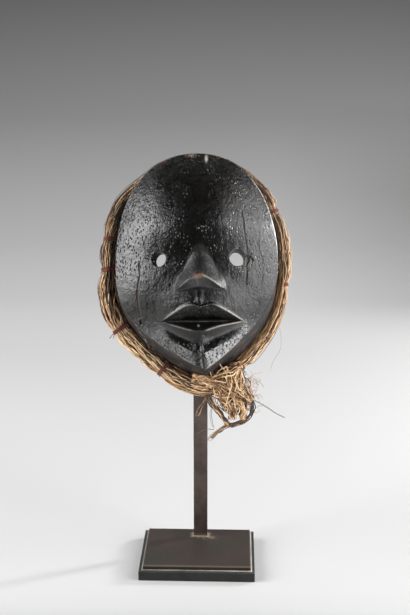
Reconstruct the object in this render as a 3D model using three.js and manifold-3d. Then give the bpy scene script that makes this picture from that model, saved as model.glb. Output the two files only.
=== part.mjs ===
// A carved wooden face mask with a raffia bundle tied round its rim, on its display stand.
// Millimetres, +Z up, +X to the viewer's right, the face looks towards -Y.
// The origin is the centre of the stand's underside.

import * as THREE from 'three';
import { mergeVertices } from 'three/addons/utils/BufferGeometryUtils.js';
import Module from 'manifold-3d';

const wasm = await Module();
wasm.setup();

// Clearance kept between pieces that touch
const GAP = 0.3;

// Stand: a stepped plinth, a thin plate on it and a flat bar that carries the mask
const PLINTH_WIDTH = 126;
const PLINTH_DEPTH = 96;
const PLINTH_HEIGHT = 10.5;
const LEDGE_HEIGHT = 0.8;
const LEDGE_INSET = 3;
const PLATE_INSET = 1.5;
const PLATE_THICKNESS = 3.9;
const PLATE_BEVEL = 0.9;
const POST_WIDTH = 15.5;
const POST_THICKNESS = 5;
const POST_X = 2;
const POST_BACK_MARGIN = 14.3;
const SADDLE_WIDTH = 58;
const SADDLE_HEIGHT = 9;
const CHIN_ARM_WIDTH = 9;
const CHIN_ARM_HEIGHT = 5;
const CHIN_ARM_LIFT = 2;

// From the bar's middle forward to the middle of the rim under the chin
const CHIN_REACH = 21.82;

// Mask: its place on the stand and its overall sizes
const MASK_LENGTH = 228;
const MASK_WIDTH = 172;
const MASK_DEPTH = 60;
const MASK_RISE = 314.3;
const MASK_SIDE = -1.45;
const MASK_LEAN = 16;
const MASK_ROLL = 1.8;
const WALL = 9;
const RIM_WIDTH = 9;
const EYE_RADIUS = 8;

// Raffia bundle round the rim, and the thread that binds it
const BUNDLE_STANDOFF = 0.8;
const THREAD_THICKNESS = 1.1;
const BINDING_LENGTH = 5;
const PINCH_RUN = 3;
const TASSEL_TOP = -131;
const TASSEL_DEPTH = 8;

// The carving is laid out on a grid of shares: 172 across, 228 from brow to chin, 60 deep
const ACROSS = MASK_WIDTH / 172;
const ALONG = MASK_LENGTH / 228;
const DEEP = MASK_DEPTH / 60;
const HALF_WIDTH = 86;
const BROW = 120;
const CHIN = 110;
const CHIN_SHIFT = 6;
const MOUTH = { u: 4, v: -43 };

// Direction of the chin's tip from the mouth, where turns round the rim begin
const CHIN_ANGLE = Math.atan2(-CHIN - MOUTH.v, CHIN_SHIFT - MOUTH.u);

// How finely the solids are faceted
const SPOKES = 90;
const FACE_RINGS = 25;
const BUNDLE_STEPS = 40;
const BUNDLE_SIDES = 8;

const { abs, atan2, cos, exp, hypot, max, min, PI, sin, sqrt } = Math;
const radians = (degrees) => (degrees * PI) / 180;
const clamp01 = (x) => min(1, max(0, x));
const smooth = (x) => clamp01(x) ** 2 * (3 - 2 * clamp01(x));
const mix = (a, b, t) => a + (b - a) * t;
const bump = (du, dv) => exp(-(du * du + dv * dv));

// Straight runs between [x, y] stations
function along(stations, x) {
  const last = stations.length - 1;
  if (x <= stations[0][0]) return stations[0][1];
  if (x >= stations[last][0]) return stations[last][1];
  const next = stations.findIndex(([at]) => at > x);
  const [x0, y0] = stations[next - 1];
  const [x1, y1] = stations[next];
  return mix(y0, y1, (x - x0) / (x1 - x0));
}

// Outline of the face: a full oval above the eyes, and a pointed chin below them

function insideOutline(u, v) {
  const chinward = clamp01((-v - 70) / (CHIN - 70));
  const fullCheek = u < 0 ? 1 + 0.05 * bump(0, (v + 47) / 26) : 1;
  const across = abs(u - CHIN_SHIFT * chinward ** 2) / (HALF_WIDTH * fullCheek);
  if (v >= 0) return across ** 2.2 + (v / BROW) ** 2.2 < 1;
  return across ** 1.05 + (-v / CHIN) ** 2.15 < 1;
}

function outlineDistance(from, angle) {
  let near = 0;
  let far = BROW + CHIN;
  for (let halving = 0; halving < 36; halving++) {
    const middle = (near + far) / 2;
    const inside = insideOutline(from.u + middle * cos(angle), from.v + middle * sin(angle));
    if (inside) near = middle;
    else far = middle;
  }
  return near;
}

// Share of the way from the middle of the face to its outline
function outwardShare(u, v) {
  const reach = hypot(u, v);
  return reach < 1e-6 ? 0 : reach / outlineDistance({ u: 0, v: 0 }, atan2(v, u));
}

// Relief of the face, as a height over the flat back of the rim

const edgeHeight = (v) => 12 + 30 * clamp01((BROW - v) / 240) ** 1.3;

function domeHeight(u, v) {
  const crown = 32 + 10 * smooth((v - 2) / 45);
  return edgeHeight(v) + crown * max(0, 1 - outwardShare(u, v) ** 2.05);
}

// Sharp arrises of the carving, each as its height on the face for a place across it

const NOSE = { left: -20, right: 29, middle: 4.5, foot: -27.5, steepness: 1.2 };
const NOSE_EDGE = [[0, 20], [5, 14], [10, 3], [14, -6], [20, -12], [25, -21], [27, -27.5]];
const noseArris = (u) => -11.5 - 15.5 * (abs(u - NOSE.middle) / 25) ** 1.15;
const noseEdge = (u) => along(NOSE_EDGE, abs(u - NOSE.middle));

const LIPS = { left: -37, right: 48 };
const UPPER_ARRIS = [[-37, -58.5], [-25, -51], [-4.6, -42], [5, -44], [16.5, -42], [31, -49], [48, -60]];
const LIP_SLIT = [[-37, -58.5], [5, -59.5], [48, -60]];
const LOWER_ARRIS = [[-37, -59], [-20, -64], [3, -69], [24, -63.5], [48, -60.5]];
const UNDERCUT = [[-37, -62], [-20, -73], [3, -82], [24, -74], [48, -62]];
const upperArris = (u) => along(UPPER_ARRIS, u);
const lipSlit = (u) => along(LIP_SLIT, u);
const lowerArris = (u) => along(LOWER_ARRIS, u);
const undercut = (u) => along(UNDERCUT, u);

const ARRISES = [
  { line: noseArris, span: NOSE },
  { line: noseEdge, span: NOSE },
  { line: upperArris, span: LIPS },
  { line: lipSlit, span: LIPS },
  { line: lowerArris, span: LIPS },
];

// A low wide pyramid with lobed wings, cut off below by a steep underside
function noseHeight(u, v) {
  const [arris, edge] = [noseArris(u), noseEdge(u)];
  const underside = (at) => NOSE.steepness * max(0, at - NOSE.foot);
  if (v < arris) return underside(v);
  if (v >= edge) return 0;
  const roundness = mix(1.15, 0.75, smooth((abs(u - NOSE.middle) - 5) / 10));
  return underside(arris) * ((edge - v) / (edge - arris)) ** roundness;
}

// Two lips with sharp arrises, meeting in a slit, and the undercut below them
function lipHeight(u, v) {
  if (u <= LIPS.left || u >= LIPS.right) return 0;
  const fullness = clamp01(min((u - LIPS.left) / 36, (LIPS.right - u) / 36)) ** 0.85;
  const profile = [
    [undercut(u), 0],
    [lowerArris(u), 12.5 * fullness],
    [lipSlit(u), 7 * fullness],
    [upperArris(u), 13 * fullness],
    [upperArris(u) + 7, 1],
    [upperArris(u) + 11, 0],
  ];
  return along(profile, v);
}

// The fold from the nose to the upper lip, with a knob at its lower end
function philtrumHeight(u, v) {
  const fold = 1.8 * bump((u - 3.5) / 2.6, 0) * smooth((v + 44) / 5) * smooth((-24 - v) / 4);
  return fold + 1.6 * bump((u - 4) / 3, (v + 38.5) / 3);
}

// A vertical ridge down the chin between two scooped planes
function chinHeight(u, v) {
  const below = smooth((-74 - v) / 10);
  const off = u - mix(3.5, 7.8, clamp01((-80 - v) / 28));
  const ridge = 3.2 * max(0, 1 - abs(off) / (off < 0 ? 9 : 6));
  const scoops = 3 * (bump((off - 19) / 13, (v + 86) / 11) + bump((off + 21) / 14, (v + 86) / 11));
  return below * (ridge - scoops);
}

function faceHeight(u, v) {
  const carving = noseHeight(u, v) + lipHeight(u, v) + philtrumHeight(u, v) + chinHeight(u, v);
  return domeHeight(u, v) + carving;
}

// Rim: the side wall flares outwards towards the back, most of all left of the chin

function rimSection(angle) {
  const at = (turn) => {
    const reach = outlineDistance(MOUTH, turn);
    return { u: MOUTH.u + reach * cos(turn), v: MOUTH.v + reach * sin(turn) };
  };
  const front = at(angle);
  const before = at(angle - 0.04);
  const after = at(angle + 0.04);
  const spread = hypot((after.v - before.v) * ALONG, (after.u - before.u) * ACROSS);
  const normal = {
    u: ((after.v - before.v) * ALONG) / spread,
    v: (-(after.u - before.u) * ACROSS) / spread,
  };
  const flare = (12 + 2.6 * bump((front.u + 14) / 22, 0)) * smooth((-5 - front.v) / 80) * ALONG;
  const arris = { u: front.u * ACROSS, v: front.v * ALONG, w: edgeHeight(front.v) * DEEP };
  const back = { u: arris.u + normal.u * flare, v: arris.v + normal.v * flare, w: 0 };
  const inner = { u: back.u - normal.u * RIM_WIDTH, v: back.v - normal.v * RIM_WIDTH, w: 0 };
  return { front, normal, arris, back, inner };
}

// Height of the hollow's ceiling, which follows the dome at the wall's thickness
function ceilingHeight(u, v, share) {
  const roof = domeHeight(u / ACROSS, v / ALONG) * DEEP - WALL;
  return max(4, roof) * sqrt(1 - share ** 8);
}

// Joins rings of points into one closed skin, between a first and a last point
function skinOf(first, rings, last, fitsBetter) {
  const points = [first, ...rings.flat(), last];
  const count = rings[0].length;
  const indices = [];
  const at = (ring, spoke) => 1 + ring * count + (spoke % count);
  for (let spoke = 0; spoke < count; spoke++) {
    indices.push(0, at(0, spoke), at(0, spoke + 1));
    for (let ring = 0; ring + 1 < rings.length; ring++) {
      const [a, b] = [at(ring, spoke), at(ring, spoke + 1)];
      const [c, d] = [at(ring + 1, spoke), at(ring + 1, spoke + 1)];
      if (fitsBetter(points[a], points[d], points[b], points[c])) indices.push(a, c, d, a, d, b);
      else indices.push(a, c, b, b, c, d);
    }
    indices.push(points.length - 1, at(rings.length - 1, spoke + 1), at(rings.length - 1, spoke));
  }
  return { points, indices };
}

function geometryOf({ points, indices }) {
  const geometry = new THREE.BufferGeometry();
  const positions = points.flatMap(({ u, v, w }) => [u, v, w]);
  geometry.setAttribute('position', new THREE.Float32BufferAttribute(positions, 3));
  geometry.setIndex(indices);
  return geometry;
}

function solidOf(geometry) {
  const bare = geometry.clone();
  bare.deleteAttribute('normal');
  bare.deleteAttribute('uv');
  const merged = mergeVertices(bare, 1e-4);
  return new wasm.Manifold(new wasm.Mesh({
    numProp: 3,
    vertProperties: new Float32Array(merged.attributes.position.array),
    triVerts: new Uint32Array(merged.index.array),
  }));
}

function geometryFrom(solid) {
  const { vertProperties, triVerts } = solid.getMesh();
  const geometry = new THREE.BufferGeometry();
  geometry.setAttribute('position', new THREE.BufferAttribute(new Float32Array(vertProperties), 3));
  geometry.setIndex(new THREE.BufferAttribute(new Uint32Array(triVerts), 1));
  return geometry;
}

// The mask

// The edge between two facets takes the diagonal that lies nearer to the carved surface
function diagonalFits(a, d, b, c) {
  const [u, v] = [(a.u + b.u + c.u + d.u) / 4, (a.v + b.v + c.v + d.v) / 4];
  const middle = faceHeight(u / ACROSS, v / ALONG) * DEEP;
  return abs(middle - (a.w + d.w) / 2) < abs(middle - (b.w + c.w) / 2);
}

function facePoint(u, v) {
  return { u: u * ACROSS, v: v * ALONG, w: faceHeight(u, v) * DEEP };
}

// A corner of a facet that lies close to an arris moves onto it
function ontoArris(u, v, nearness) {
  const meets = ({ line, span }) => u > span.left && u < span.right && abs(line(u) - v) < nearness;
  const arris = ARRISES.find(meets);
  return facePoint(u, arris ? arris.line(u) : v);
}

function maskSkin() {
  const sections = Array.from({ length: SPOKES }, (_, k) => rimSection(CHIN_ANGLE + (2 * PI * k) / SPOKES));
  const nearReach = 65;
  const rings = [];
  for (let ring = 1; ring < FACE_RINGS; ring++) {
    const share = ring / FACE_RINGS;
    rings.push(sections.map(({ front }) => {
      const [du, dv] = [front.u - MOUTH.u, front.v - MOUTH.v];
      const reach = hypot(du, dv);
      const out = nearReach * share + (reach - nearReach) * share ** 5;
      const ringGap = (nearReach + 5 * (reach - nearReach) * share ** 4) / FACE_RINGS;
      const nearness = 0.42 * min(ringGap, (2 * PI * out) / SPOKES);
      return ontoArris(MOUTH.u + (du * out) / reach, MOUTH.v + (dv * out) / reach, nearness);
    }));
  }
  rings.push(sections.map(({ arris }) => arris));
  rings.push(sections.map(({ back }) => back));
  rings.push(sections.map(({ inner }) => inner));
  const [midU, midV] = [MOUTH.u * ACROSS, MOUTH.v * ALONG];
  for (const share of [0.985, 0.94, 0.86, 0.75, 0.6, 0.42, 0.22]) {
    rings.push(sections.map(({ inner }) => {
      const [u, v] = [mix(midU, inner.u, share), mix(midV, inner.v, share)];
      return { u, v, w: ceilingHeight(u, v, share) };
    }));
  }
  const top = facePoint(MOUTH.u, MOUTH.v);
  const ceiling = { u: midU, v: midV, w: ceilingHeight(midU, midV, 0) };
  return skinOf(top, rings, ceiling, (a, d, b, c) => a.w > 0 && c.w > 0 && diagonalFits(a, d, b, c));
}

// An eye hole is bored through the wall on a slant
function eyeBore({ u, v, tiltAcross, tiltDown }) {
  const bore = new THREE.CylinderGeometry(EYE_RADIUS, EYE_RADIUS, MASK_DEPTH * 2, 20);
  bore.rotateX(PI / 2);
  bore.rotateX(radians(tiltDown));
  bore.rotateY(radians(tiltAcross));
  bore.translate(u * ACROSS, v * ALONG, faceHeight(u, v) * DEEP);
  return solidOf(bore);
}

const EYES = [
  { u: -38.3, v: 5.7, tiltAcross: -20, tiltDown: -10 },
  { u: 42.5, v: 5.2, tiltAcross: 4, tiltDown: -10 },
];

function maskSolid() {
  let solid = solidOf(geometryOf(maskSkin()));
  for (const eye of EYES) solid = solid.subtract(eyeBore(eye));
  return solid;
}

// The raffia bundle lies against the back edge of the rim: [turn from the chin, clear of the rim,
// depth, radius], counter-clockwise seen from the front, so up the right side, over the brow, where
// it passes behind the rim, and down the left. A null depth is behind the rim.
const BUNDLE_STATIONS = [
  [0, 0, 8, 8],
  [9, 0, 4, 8],
  [26, 0, -4, 7.6],
  [45, 0, -5.5, 7.8],
  [67, 0, -6, 7.6],
  [88, 0, -5.5, 7.2],
  [104, 0, -4, 6.8],
  [120, 0, -2.5, 7],
  [132, 0, -2.5, 6.6],
  [141, 0, -4.5, 6],
  [149, 0, -5.2, 5.6],
  [156, -1.2, -5.6, 5],
  [167, -6, null, 4.4],
  [180, -9, null, 4],
  [193, -6, null, 4.2],
  [204, -1.5, -5.4, 4.8],
  [214, 2.2, -2, 5.6],
  [223, 2.4, 3, 6.6],
  [235, 2.6, 6, 7.2],
  [246, 2, 8, 7.2],
  [256, 0.6, 8, 9.8],
  [265, 0.4, 8, 9.4],
  [277, 1, 6, 8.6],
  [298, 0, 2, 7.8],
  [326, 0, 6, 8.2],
  [344, 0.2, 8, 8.2],
];

const BINDING_TURNS = [26, 104, 141, 172, 188, 229, 244, 277, 326];

function bundleCurve() {
  const points = BUNDLE_STATIONS.map(([turn, clear, depth, radius]) => {
    const { back, normal } = rimSection(CHIN_ANGLE + radians(turn));
    const reach = radius + BUNDLE_STANDOFF;
    const level = depth ?? -reach;
    const out = clear + (level < 0 ? sqrt(reach ** 2 - level ** 2) : reach);
    return new THREE.Vector3(back.u + normal.u * out, back.v + normal.v * out, level);
  });
  return new THREE.CatmullRomCurve3(points, true, 'centripetal');
}

// Where a turn lies along the bundle, counted in stations
function stationAt(turn) {
  const next = BUNDLE_STATIONS.findIndex(([at]) => at > turn);
  const [from, to] = [BUNDLE_STATIONS[next - 1][0], BUNDLE_STATIONS[next][0]];
  return next - 1 + (turn - from) / (to - from);
}

// Millimetres of bundle for one station, near the given one
function stationLength(curve, station) {
  const count = BUNDLE_STATIONS.length;
  return 2 * curve.getPoint((station + 0.25) / count).distanceTo(curve.getPoint((station - 0.25) / count));
}

const PINCH = GAP + THREAD_THICKNESS;
const PINCH_HALF = BINDING_LENGTH / 2 + GAP;

// Place, frame and radius of the bundle, which each binding pinches by the thread's thickness
function bundleAt(curve, station) {
  const count = BUNDLE_STATIONS.length;
  const here = ((station % count) + count) % count;
  const centre = curve.getPoint(here / count);
  const tangent = curve.getTangent(here / count);
  const outward = new THREE.Vector3(centre.x, centre.y + 10, 0).normalize();
  outward.addScaledVector(tangent, -outward.dot(tangent)).normalize();
  const side = new THREE.Vector3().crossVectors(tangent, outward);
  const radiusAt = (k) => BUNDLE_STATIONS[k % count][3];
  const full = mix(radiusAt(Math.floor(here)), radiusAt(Math.floor(here) + 1), smooth(here % 1));
  const nearest = min(...BINDING_TURNS.map((turn) => {
    const binding = stationAt(turn);
    return abs(here - binding) * stationLength(curve, binding);
  }));
  const radius = full - PINCH * clamp01(1 - (nearest - PINCH_HALF) / PINCH_RUN);
  return { centre, outward, side, radius };
}

function ringRound({ centre, outward, side, radius }, extra) {
  return Array.from({ length: BUNDLE_SIDES }, (_, k) => {
    const turn = (2 * PI * k) / BUNDLE_SIDES;
    const point = centre.clone();
    point.addScaledVector(outward, (radius + extra) * cos(turn));
    point.addScaledVector(side, (radius + extra) * sin(turn));
    return { u: point.x, v: point.y, w: point.z };
  });
}

// Closes a row of rings on itself, as round a torus
function torusOf(rings) {
  const count = rings[0].length;
  const points = rings.flat();
  const indices = [];
  rings.forEach((_, ring) => {
    const next = (ring + 1) % rings.length;
    for (let k = 0; k < count; k++) {
      const [a, b] = [ring * count + k, ring * count + ((k + 1) % count)];
      const [c, d] = [next * count + k, next * count + ((k + 1) % count)];
      indices.push(a, b, c, b, d, c);
    }
  });
  return geometryOf({ points, indices });
}

function bundleLoop(curve) {
  const step = BUNDLE_STATIONS.length / BUNDLE_STEPS;
  const even = Array.from({ length: BUNDLE_STEPS }, (_, k) => k * step);
  const pinched = BINDING_TURNS.flatMap((turn) => {
    const station = stationAt(turn);
    const near = PINCH_HALF / stationLength(curve, station);
    const far = (PINCH_HALF + PINCH_RUN) / stationLength(curve, station);
    return [station - far, station - near, station + near, station + far];
  });
  const clear = even.filter((at) => pinched.every((pinch) => abs(at - pinch) > step / 3));
  const stations = [...clear, ...pinched].sort((a, b) => a - b);
  return torusOf(stations.map((station) => ringRound(bundleAt(curve, station), 0)));
}

// Thread wound round the bundle: a short sleeve a little off the fibres
function bindingGeometry(curve, turn) {
  const station = stationAt(turn);
  const half = BINDING_LENGTH / 2 / stationLength(curve, station);
  const sleeve = (share, extra) => ringRound(bundleAt(curve, station + share * half), extra);
  const outer = [-1, 0, 1].map((share) => sleeve(share, GAP + THREAD_THICKNESS));
  const inner = [1, 0, -1].map((share) => sleeve(share, GAP));
  return torusOf([...outer, ...inner]);
}

// The frayed ends of the bundle, which hang in front of the bar below the chin

// Follows the fall of the fibres, which hang plumb although the mask leans back
const plumbDepth = (v) => TASSEL_DEPTH + (v - TASSEL_TOP * ALONG) * Math.tan(radians(MASK_LEAN));

// A tapering strand of five sides through the given points
function strand(points, thick, thin) {
  const curve = new THREE.CatmullRomCurve3(points.map(([u, v, w]) => new THREE.Vector3(u, v, w)));
  const steps = points.length * 2;
  const rings = [];
  for (let step = 0; step <= steps; step++) {
    const centre = curve.getPoint(step / steps);
    const tangent = curve.getTangent(step / steps);
    const outward = new THREE.Vector3(0, 0, 1).addScaledVector(tangent, -tangent.z).normalize();
    const side = new THREE.Vector3().crossVectors(tangent, outward);
    const radius = mix(thick, thin, step / steps);
    rings.push(Array.from({ length: 5 }, (_, k) => {
      const turn = (2 * PI * k) / 5;
      const point = centre.clone().addScaledVector(outward, radius * cos(turn));
      point.addScaledVector(side, radius * sin(turn));
      return { u: point.x, v: point.y, w: point.z };
    }));
  }
  const [start, end] = [curve.getPoint(0), curve.getPoint(1)];
  const first = { u: start.x, v: start.y, w: start.z };
  const last = { u: end.x, v: end.y, w: end.z };
  const skin = skinOf(last, rings.reverse(), first, () => false);
  return solidOf(geometryOf(skin));
}

// The matted middle of the tassel: [drop below the rim, left edge, right edge, half thickness]
const TASSEL_STATIONS = [
  [3, -6, 36, 6],
  [10, -12, 48, 9],
  [18, -6, 56, 11],
  [27, 6, 61, 11],
  [36, 14, 60, 10],
  [45, 20, 50, 8],
  [54, 19, 38, 5],
  [63, 16, 25, 2.5],
];

function tasselBody(rimFoot) {
  const sides = 12;
  const rings = TASSEL_STATIONS.map(([drop, left, right, thick], row) => {
    const v = rimFoot - drop * ALONG;
    return Array.from({ length: sides }, (_, k) => {
      const turn = (-2 * PI * k) / sides;
      const fray = 1 + 0.1 * sin(2.3 * row + 2.1 * k);
      const u = (left + right) / 2 + ((right - left) / 2) * cos(turn) * fray;
      const w = plumbDepth(v) + thick * sin(turn) * fray;
      return { u: u * ACROSS, v, w };
    });
  });
  const middle = (ring) => ({
    u: ring.reduce((sum, { u }) => sum + u, 0) / sides,
    v: ring[0].v,
    w: ring.reduce((sum, { w }) => sum + w, 0) / sides,
  });
  const skin = skinOf(middle(rings[0]), rings, middle(rings[rings.length - 1]), () => false);
  return solidOf(geometryOf(skin));
}

// [end of a loose strand across, its drop, its bend sideways]
const LOOSE_STRANDS = [
  [72, 50, 6],
  [60, 54, 5],
  [46, 60, 4],
  [17, 71, -3],
  [-4, 45, -6],
  [66, 22, 3],
];

function tasselStrands(rimFoot) {
  const root = [22 * ACROSS, rimFoot - 16 * ALONG];
  return LOOSE_STRANDS.map(([across, drop, bend]) => {
    const end = [across * ACROSS, rimFoot - drop * ALONG];
    const middle = [mix(root[0], end[0], 0.55) + bend, mix(root[1], end[1], 0.5)];
    const points = [root, middle, end].map(([u, v]) => [u, v, plumbDepth(v)]);
    return strand(points, 3, 0.9);
  });
}

function bundleSolid(curve) {
  const rimFoot = rimSection(CHIN_ANGLE).back.v - BUNDLE_STANDOFF;
  let solid = solidOf(bundleLoop(curve)).add(tasselBody(rimFoot));
  for (const loose of tasselStrands(rimFoot)) solid = solid.add(loose);
  return solid;
}

// The stand

function box(width, depth, height) {
  return new THREE.BoxGeometry(width, depth, height).translate(0, 0, height / 2);
}

// A rectangular plate whose upper edges are bevelled
function bevelledPlate(width, depth, height, bevel) {
  const section = (inset, z) => {
    const [x, y] = [width / 2 - inset, depth / 2 - inset];
    return [[x, y], [-x, y], [-x, -y], [x, -y]].map(([u, v]) => ({ u, v, w: z }));
  };
  const rings = [section(bevel, height), section(0, height - bevel), section(0, 0)];
  return geometryOf(skinOf({ u: 0, v: 0, w: height }, rings, { u: 0, v: 0, w: 0 }, () => false));
}

const LEDGE_WIDTH = PLINTH_WIDTH - 2 * LEDGE_INSET;
const LEDGE_DEPTH = PLINTH_DEPTH - 2 * LEDGE_INSET;
const PLATE_WIDTH = LEDGE_WIDTH - 2 * PLATE_INSET;
const PLATE_DEPTH = LEDGE_DEPTH - 2 * PLATE_INSET;
const PLATE_FOOT = PLINTH_HEIGHT + LEDGE_HEIGHT + GAP;
const POST_FOOT = PLATE_FOOT + PLATE_THICKNESS + GAP;
const POST_Y = PLATE_DEPTH / 2 - POST_BACK_MARGIN;

// The mask leans back on the bar, and keeps the rim under its chin the same way in front of it
const MASK_TURN = new THREE.Euler(PI / 2 - radians(MASK_LEAN), 0, radians(MASK_ROLL));
const MASK_FOOT = PLATE_FOOT + PLATE_THICKNESS + MASK_RISE;

function chinRim() {
  const { back, inner } = rimSection(CHIN_ANGLE);
  const rim = new THREE.Vector3((back.u + inner.u) / 2, (back.v + inner.v) / 2, 0);
  return rim.applyEuler(MASK_TURN);
}

function plinthSolid() {
  const block = solidOf(box(PLINTH_WIDTH, PLINTH_DEPTH, PLINTH_HEIGHT));
  return block.add(solidOf(box(LEDGE_WIDTH, LEDGE_DEPTH, PLINTH_HEIGHT + LEDGE_HEIGHT)));
}

// The bar runs up behind the chin into the hollow, where a saddle on its top carries the brow,
// and a short arm keeps the rim of the chin off the bar
function postSolid(maskInPlace, intoMask) {
  const inMask = (x, y, z) => new THREE.Vector3(x, y, z).applyMatrix4(intoMask);
  const middle = { u: MOUTH.u * ACROSS, v: MOUTH.v * ALONG };
  const underCeiling = (z) => {
    const at = inMask(POST_X, POST_Y, z);
    const angle = atan2((at.y - middle.v) / ALONG, (at.x - middle.u) / ACROSS);
    const { inner } = rimSection(angle);
    const share = hypot(at.x - middle.u, at.y - middle.v) / hypot(inner.u - middle.u, inner.v - middle.v);
    return share < 1 && at.z < ceilingHeight(at.x, at.y, share);
  };
  let top = MASK_RISE;
  while (underCeiling(top + 0.5)) top += 0.5;
  const upright = box(POST_WIDTH, POST_THICKNESS, top - POST_FOOT);
  upright.translate(POST_X, POST_Y, POST_FOOT);
  const saddle = box(SADDLE_WIDTH, POST_THICKNESS, SADDLE_HEIGHT);
  saddle.translate(POST_X, POST_Y, top - SADDLE_HEIGHT);
  const armReach = CHIN_REACH + CHIN_ARM_HEIGHT * Math.tan(radians(MASK_LEAN));
  const rimHeight = MASK_FOOT + chinRim().z;
  const arm = box(CHIN_ARM_WIDTH, armReach, CHIN_ARM_HEIGHT);
  arm.translate(POST_X, POST_Y - armReach / 2, rimHeight + CHIN_ARM_LIFT - CHIN_ARM_HEIGHT / 2);
  const blank = solidOf(upright).add(solidOf(saddle)).add(solidOf(arm));
  const down = maskInPlace.translate([0, 0, -GAP]);
  const backwards = maskInPlace.translate([0, GAP, -GAP / 2]);
  return blank.subtract(down).subtract(backwards);
}

// Assembly

function piece(name, geometry, color, roughness, metalness) {
  const faceted = geometry.index ? geometry.toNonIndexed() : geometry;
  faceted.computeVertexNormals();
  const material = new THREE.MeshStandardMaterial({ color, roughness, metalness, flatShading: true });
  const mesh = new THREE.Mesh(faceted, material);
  mesh.name = name;
  return mesh;
}

const maskFrame = new THREE.Group();
maskFrame.position.set(MASK_SIDE, POST_Y - CHIN_REACH - chinRim().y, MASK_FOOT);
maskFrame.rotation.copy(MASK_TURN);
maskFrame.updateMatrixWorld(true);

const mask = maskSolid();
const curve = bundleCurve();
maskFrame.add(piece('mask', geometryFrom(mask), 0x1d1815, 0.42, 0));
maskFrame.add(piece('raffia_bundle', geometryFrom(bundleSolid(curve)), 0x9a7446, 0.85, 0));
BINDING_TURNS.forEach((turn, k) => {
  maskFrame.add(piece(`binding_${k + 1}`, bindingGeometry(curve, turn), 0x5a2219, 0.8, 0));
});

const plinth = piece('base_plinth', geometryFrom(plinthSolid()), 0x2b2c2a, 0.55, 0.6);
const plateGeometry = bevelledPlate(PLATE_WIDTH, PLATE_DEPTH, PLATE_THICKNESS, PLATE_BEVEL);
const plate = piece('base_plate', plateGeometry, 0x3a322e, 0.45, 0.8);
plate.position.z = PLATE_FOOT;

const toWorld = maskFrame.matrixWorld;
const post = postSolid(mask.transform(toWorld.elements), toWorld.clone().invert());

const group = new THREE.Group();
group.add(plinth);
group.add(plate);
group.add(piece('mount_post', geometryFrom(post), 0x35241f, 0.4, 0.8));
group.add(maskFrame);

export default group;
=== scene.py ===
# A carved wooden face mask with a raffia bundle tied round its rim, on its display stand.
# The mask is laid out in millimetres in its own frame: u across, v up, w out of the face.

import math

import bmesh
import bpy
import numpy as np
from mathutils import Matrix, Vector


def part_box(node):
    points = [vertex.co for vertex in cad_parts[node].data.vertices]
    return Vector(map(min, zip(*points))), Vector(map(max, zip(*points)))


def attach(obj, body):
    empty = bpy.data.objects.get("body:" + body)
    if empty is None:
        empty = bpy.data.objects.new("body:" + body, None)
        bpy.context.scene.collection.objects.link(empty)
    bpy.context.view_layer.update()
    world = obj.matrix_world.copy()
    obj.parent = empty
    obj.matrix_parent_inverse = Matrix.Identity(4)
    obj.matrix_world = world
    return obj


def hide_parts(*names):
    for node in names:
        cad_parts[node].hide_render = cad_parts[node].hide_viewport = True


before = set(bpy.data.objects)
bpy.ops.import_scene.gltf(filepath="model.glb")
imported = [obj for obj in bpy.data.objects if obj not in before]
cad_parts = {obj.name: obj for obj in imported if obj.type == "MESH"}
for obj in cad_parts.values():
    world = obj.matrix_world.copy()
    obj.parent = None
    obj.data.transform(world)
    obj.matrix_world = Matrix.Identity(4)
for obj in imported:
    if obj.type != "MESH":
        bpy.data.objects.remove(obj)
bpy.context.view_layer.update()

MM = 0.001
RANDOM = np.random.default_rng(7)

# Place of the mask on its stand
PLATE_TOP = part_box("base_plate")[1].z / MM
MASK_RISE = 314.3
MASK_BACK = 40
MASK_SIDE = -1.45
MASK_LEAN = math.radians(16)
MASK_ROLL = math.radians(1.8)

# Outline and walls of the mask
HALF_WIDTH = 86
BROW = 120
CHIN = 110
CHIN_SHIFT = 6
MOUTH = (4, -43)
CHIN_ANGLE = math.atan2(-CHIN - MOUTH[1], CHIN_SHIFT - MOUTH[0])
WALL = 9
RIM_WIDTH = 9
EYE_RADIUS = 8
EYES = [(-38.3, 5.7, -25, -16, 0), (43.1, 5.2, 7, -17, 0.7)]
EYE_TAPER = 0.012

# Grid of the carved face, rows of its side wall and of its hollow, and how many points of the
# wall there are for each point of the hollow
COLUMNS = 212
ROWS = 272
WALL_ROWS = 26
CEILING_ROWS = 22
COARSER = 4
EASED_EDGE = 0.8
BORE_SIDES = 56
BORE_REACH = 60

# Raffia bundle round the rim: [turn from the chin in degrees, clear of the rim, depth, radius],
# where a depth of None lies behind the rim, and the turns at which it is bound
BUNDLE_STANDOFF = 0.8
GAP = 0.3
THREAD_THICKNESS = 1.1
BINDING_LENGTH = 5
PINCH = GAP + THREAD_THICKNESS
PINCH_RUN = 9
BUNDLE_STATIONS = [
    (0, 0, 8, 8), (9, 0, 4, 8), (26, 0, -4, 7.6), (45, 0, -5.5, 7.8), (67, 0, -6, 7.6),
    (88, 0, -5.5, 7.2), (104, 0, -4, 6.8), (120, 0, -2.5, 7), (132, 0, -2.5, 6.6),
    (141, 0, -4.5, 6), (149, 0, -5.2, 5.6), (156, -1.2, -5.6, 5), (167, -6, None, 4.4),
    (180, -9, None, 4), (193, -6, None, 4.2), (204, -1.5, -5.4, 4.8), (214, 2.2, -2, 5.6),
    (223, 2.4, 3, 6.6), (235, 2.6, 6, 7.2), (246, 2, 8, 7.2), (256, 0.6, 8, 9.8),
    (265, 0.4, 8, 9.4), (277, 1, 6, 8.6), (298, 0, 2, 7.8), (326, 0, 6, 8.2), (344, 0.2, 8, 8.2),
]
BINDING_TURNS = (26, 104, 141, 172, 188, 229, 244, 277, 326)
TASSEL_TOP = -131
TASSEL_DEPTH = 8
STRAND_RINGS = 22

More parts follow.
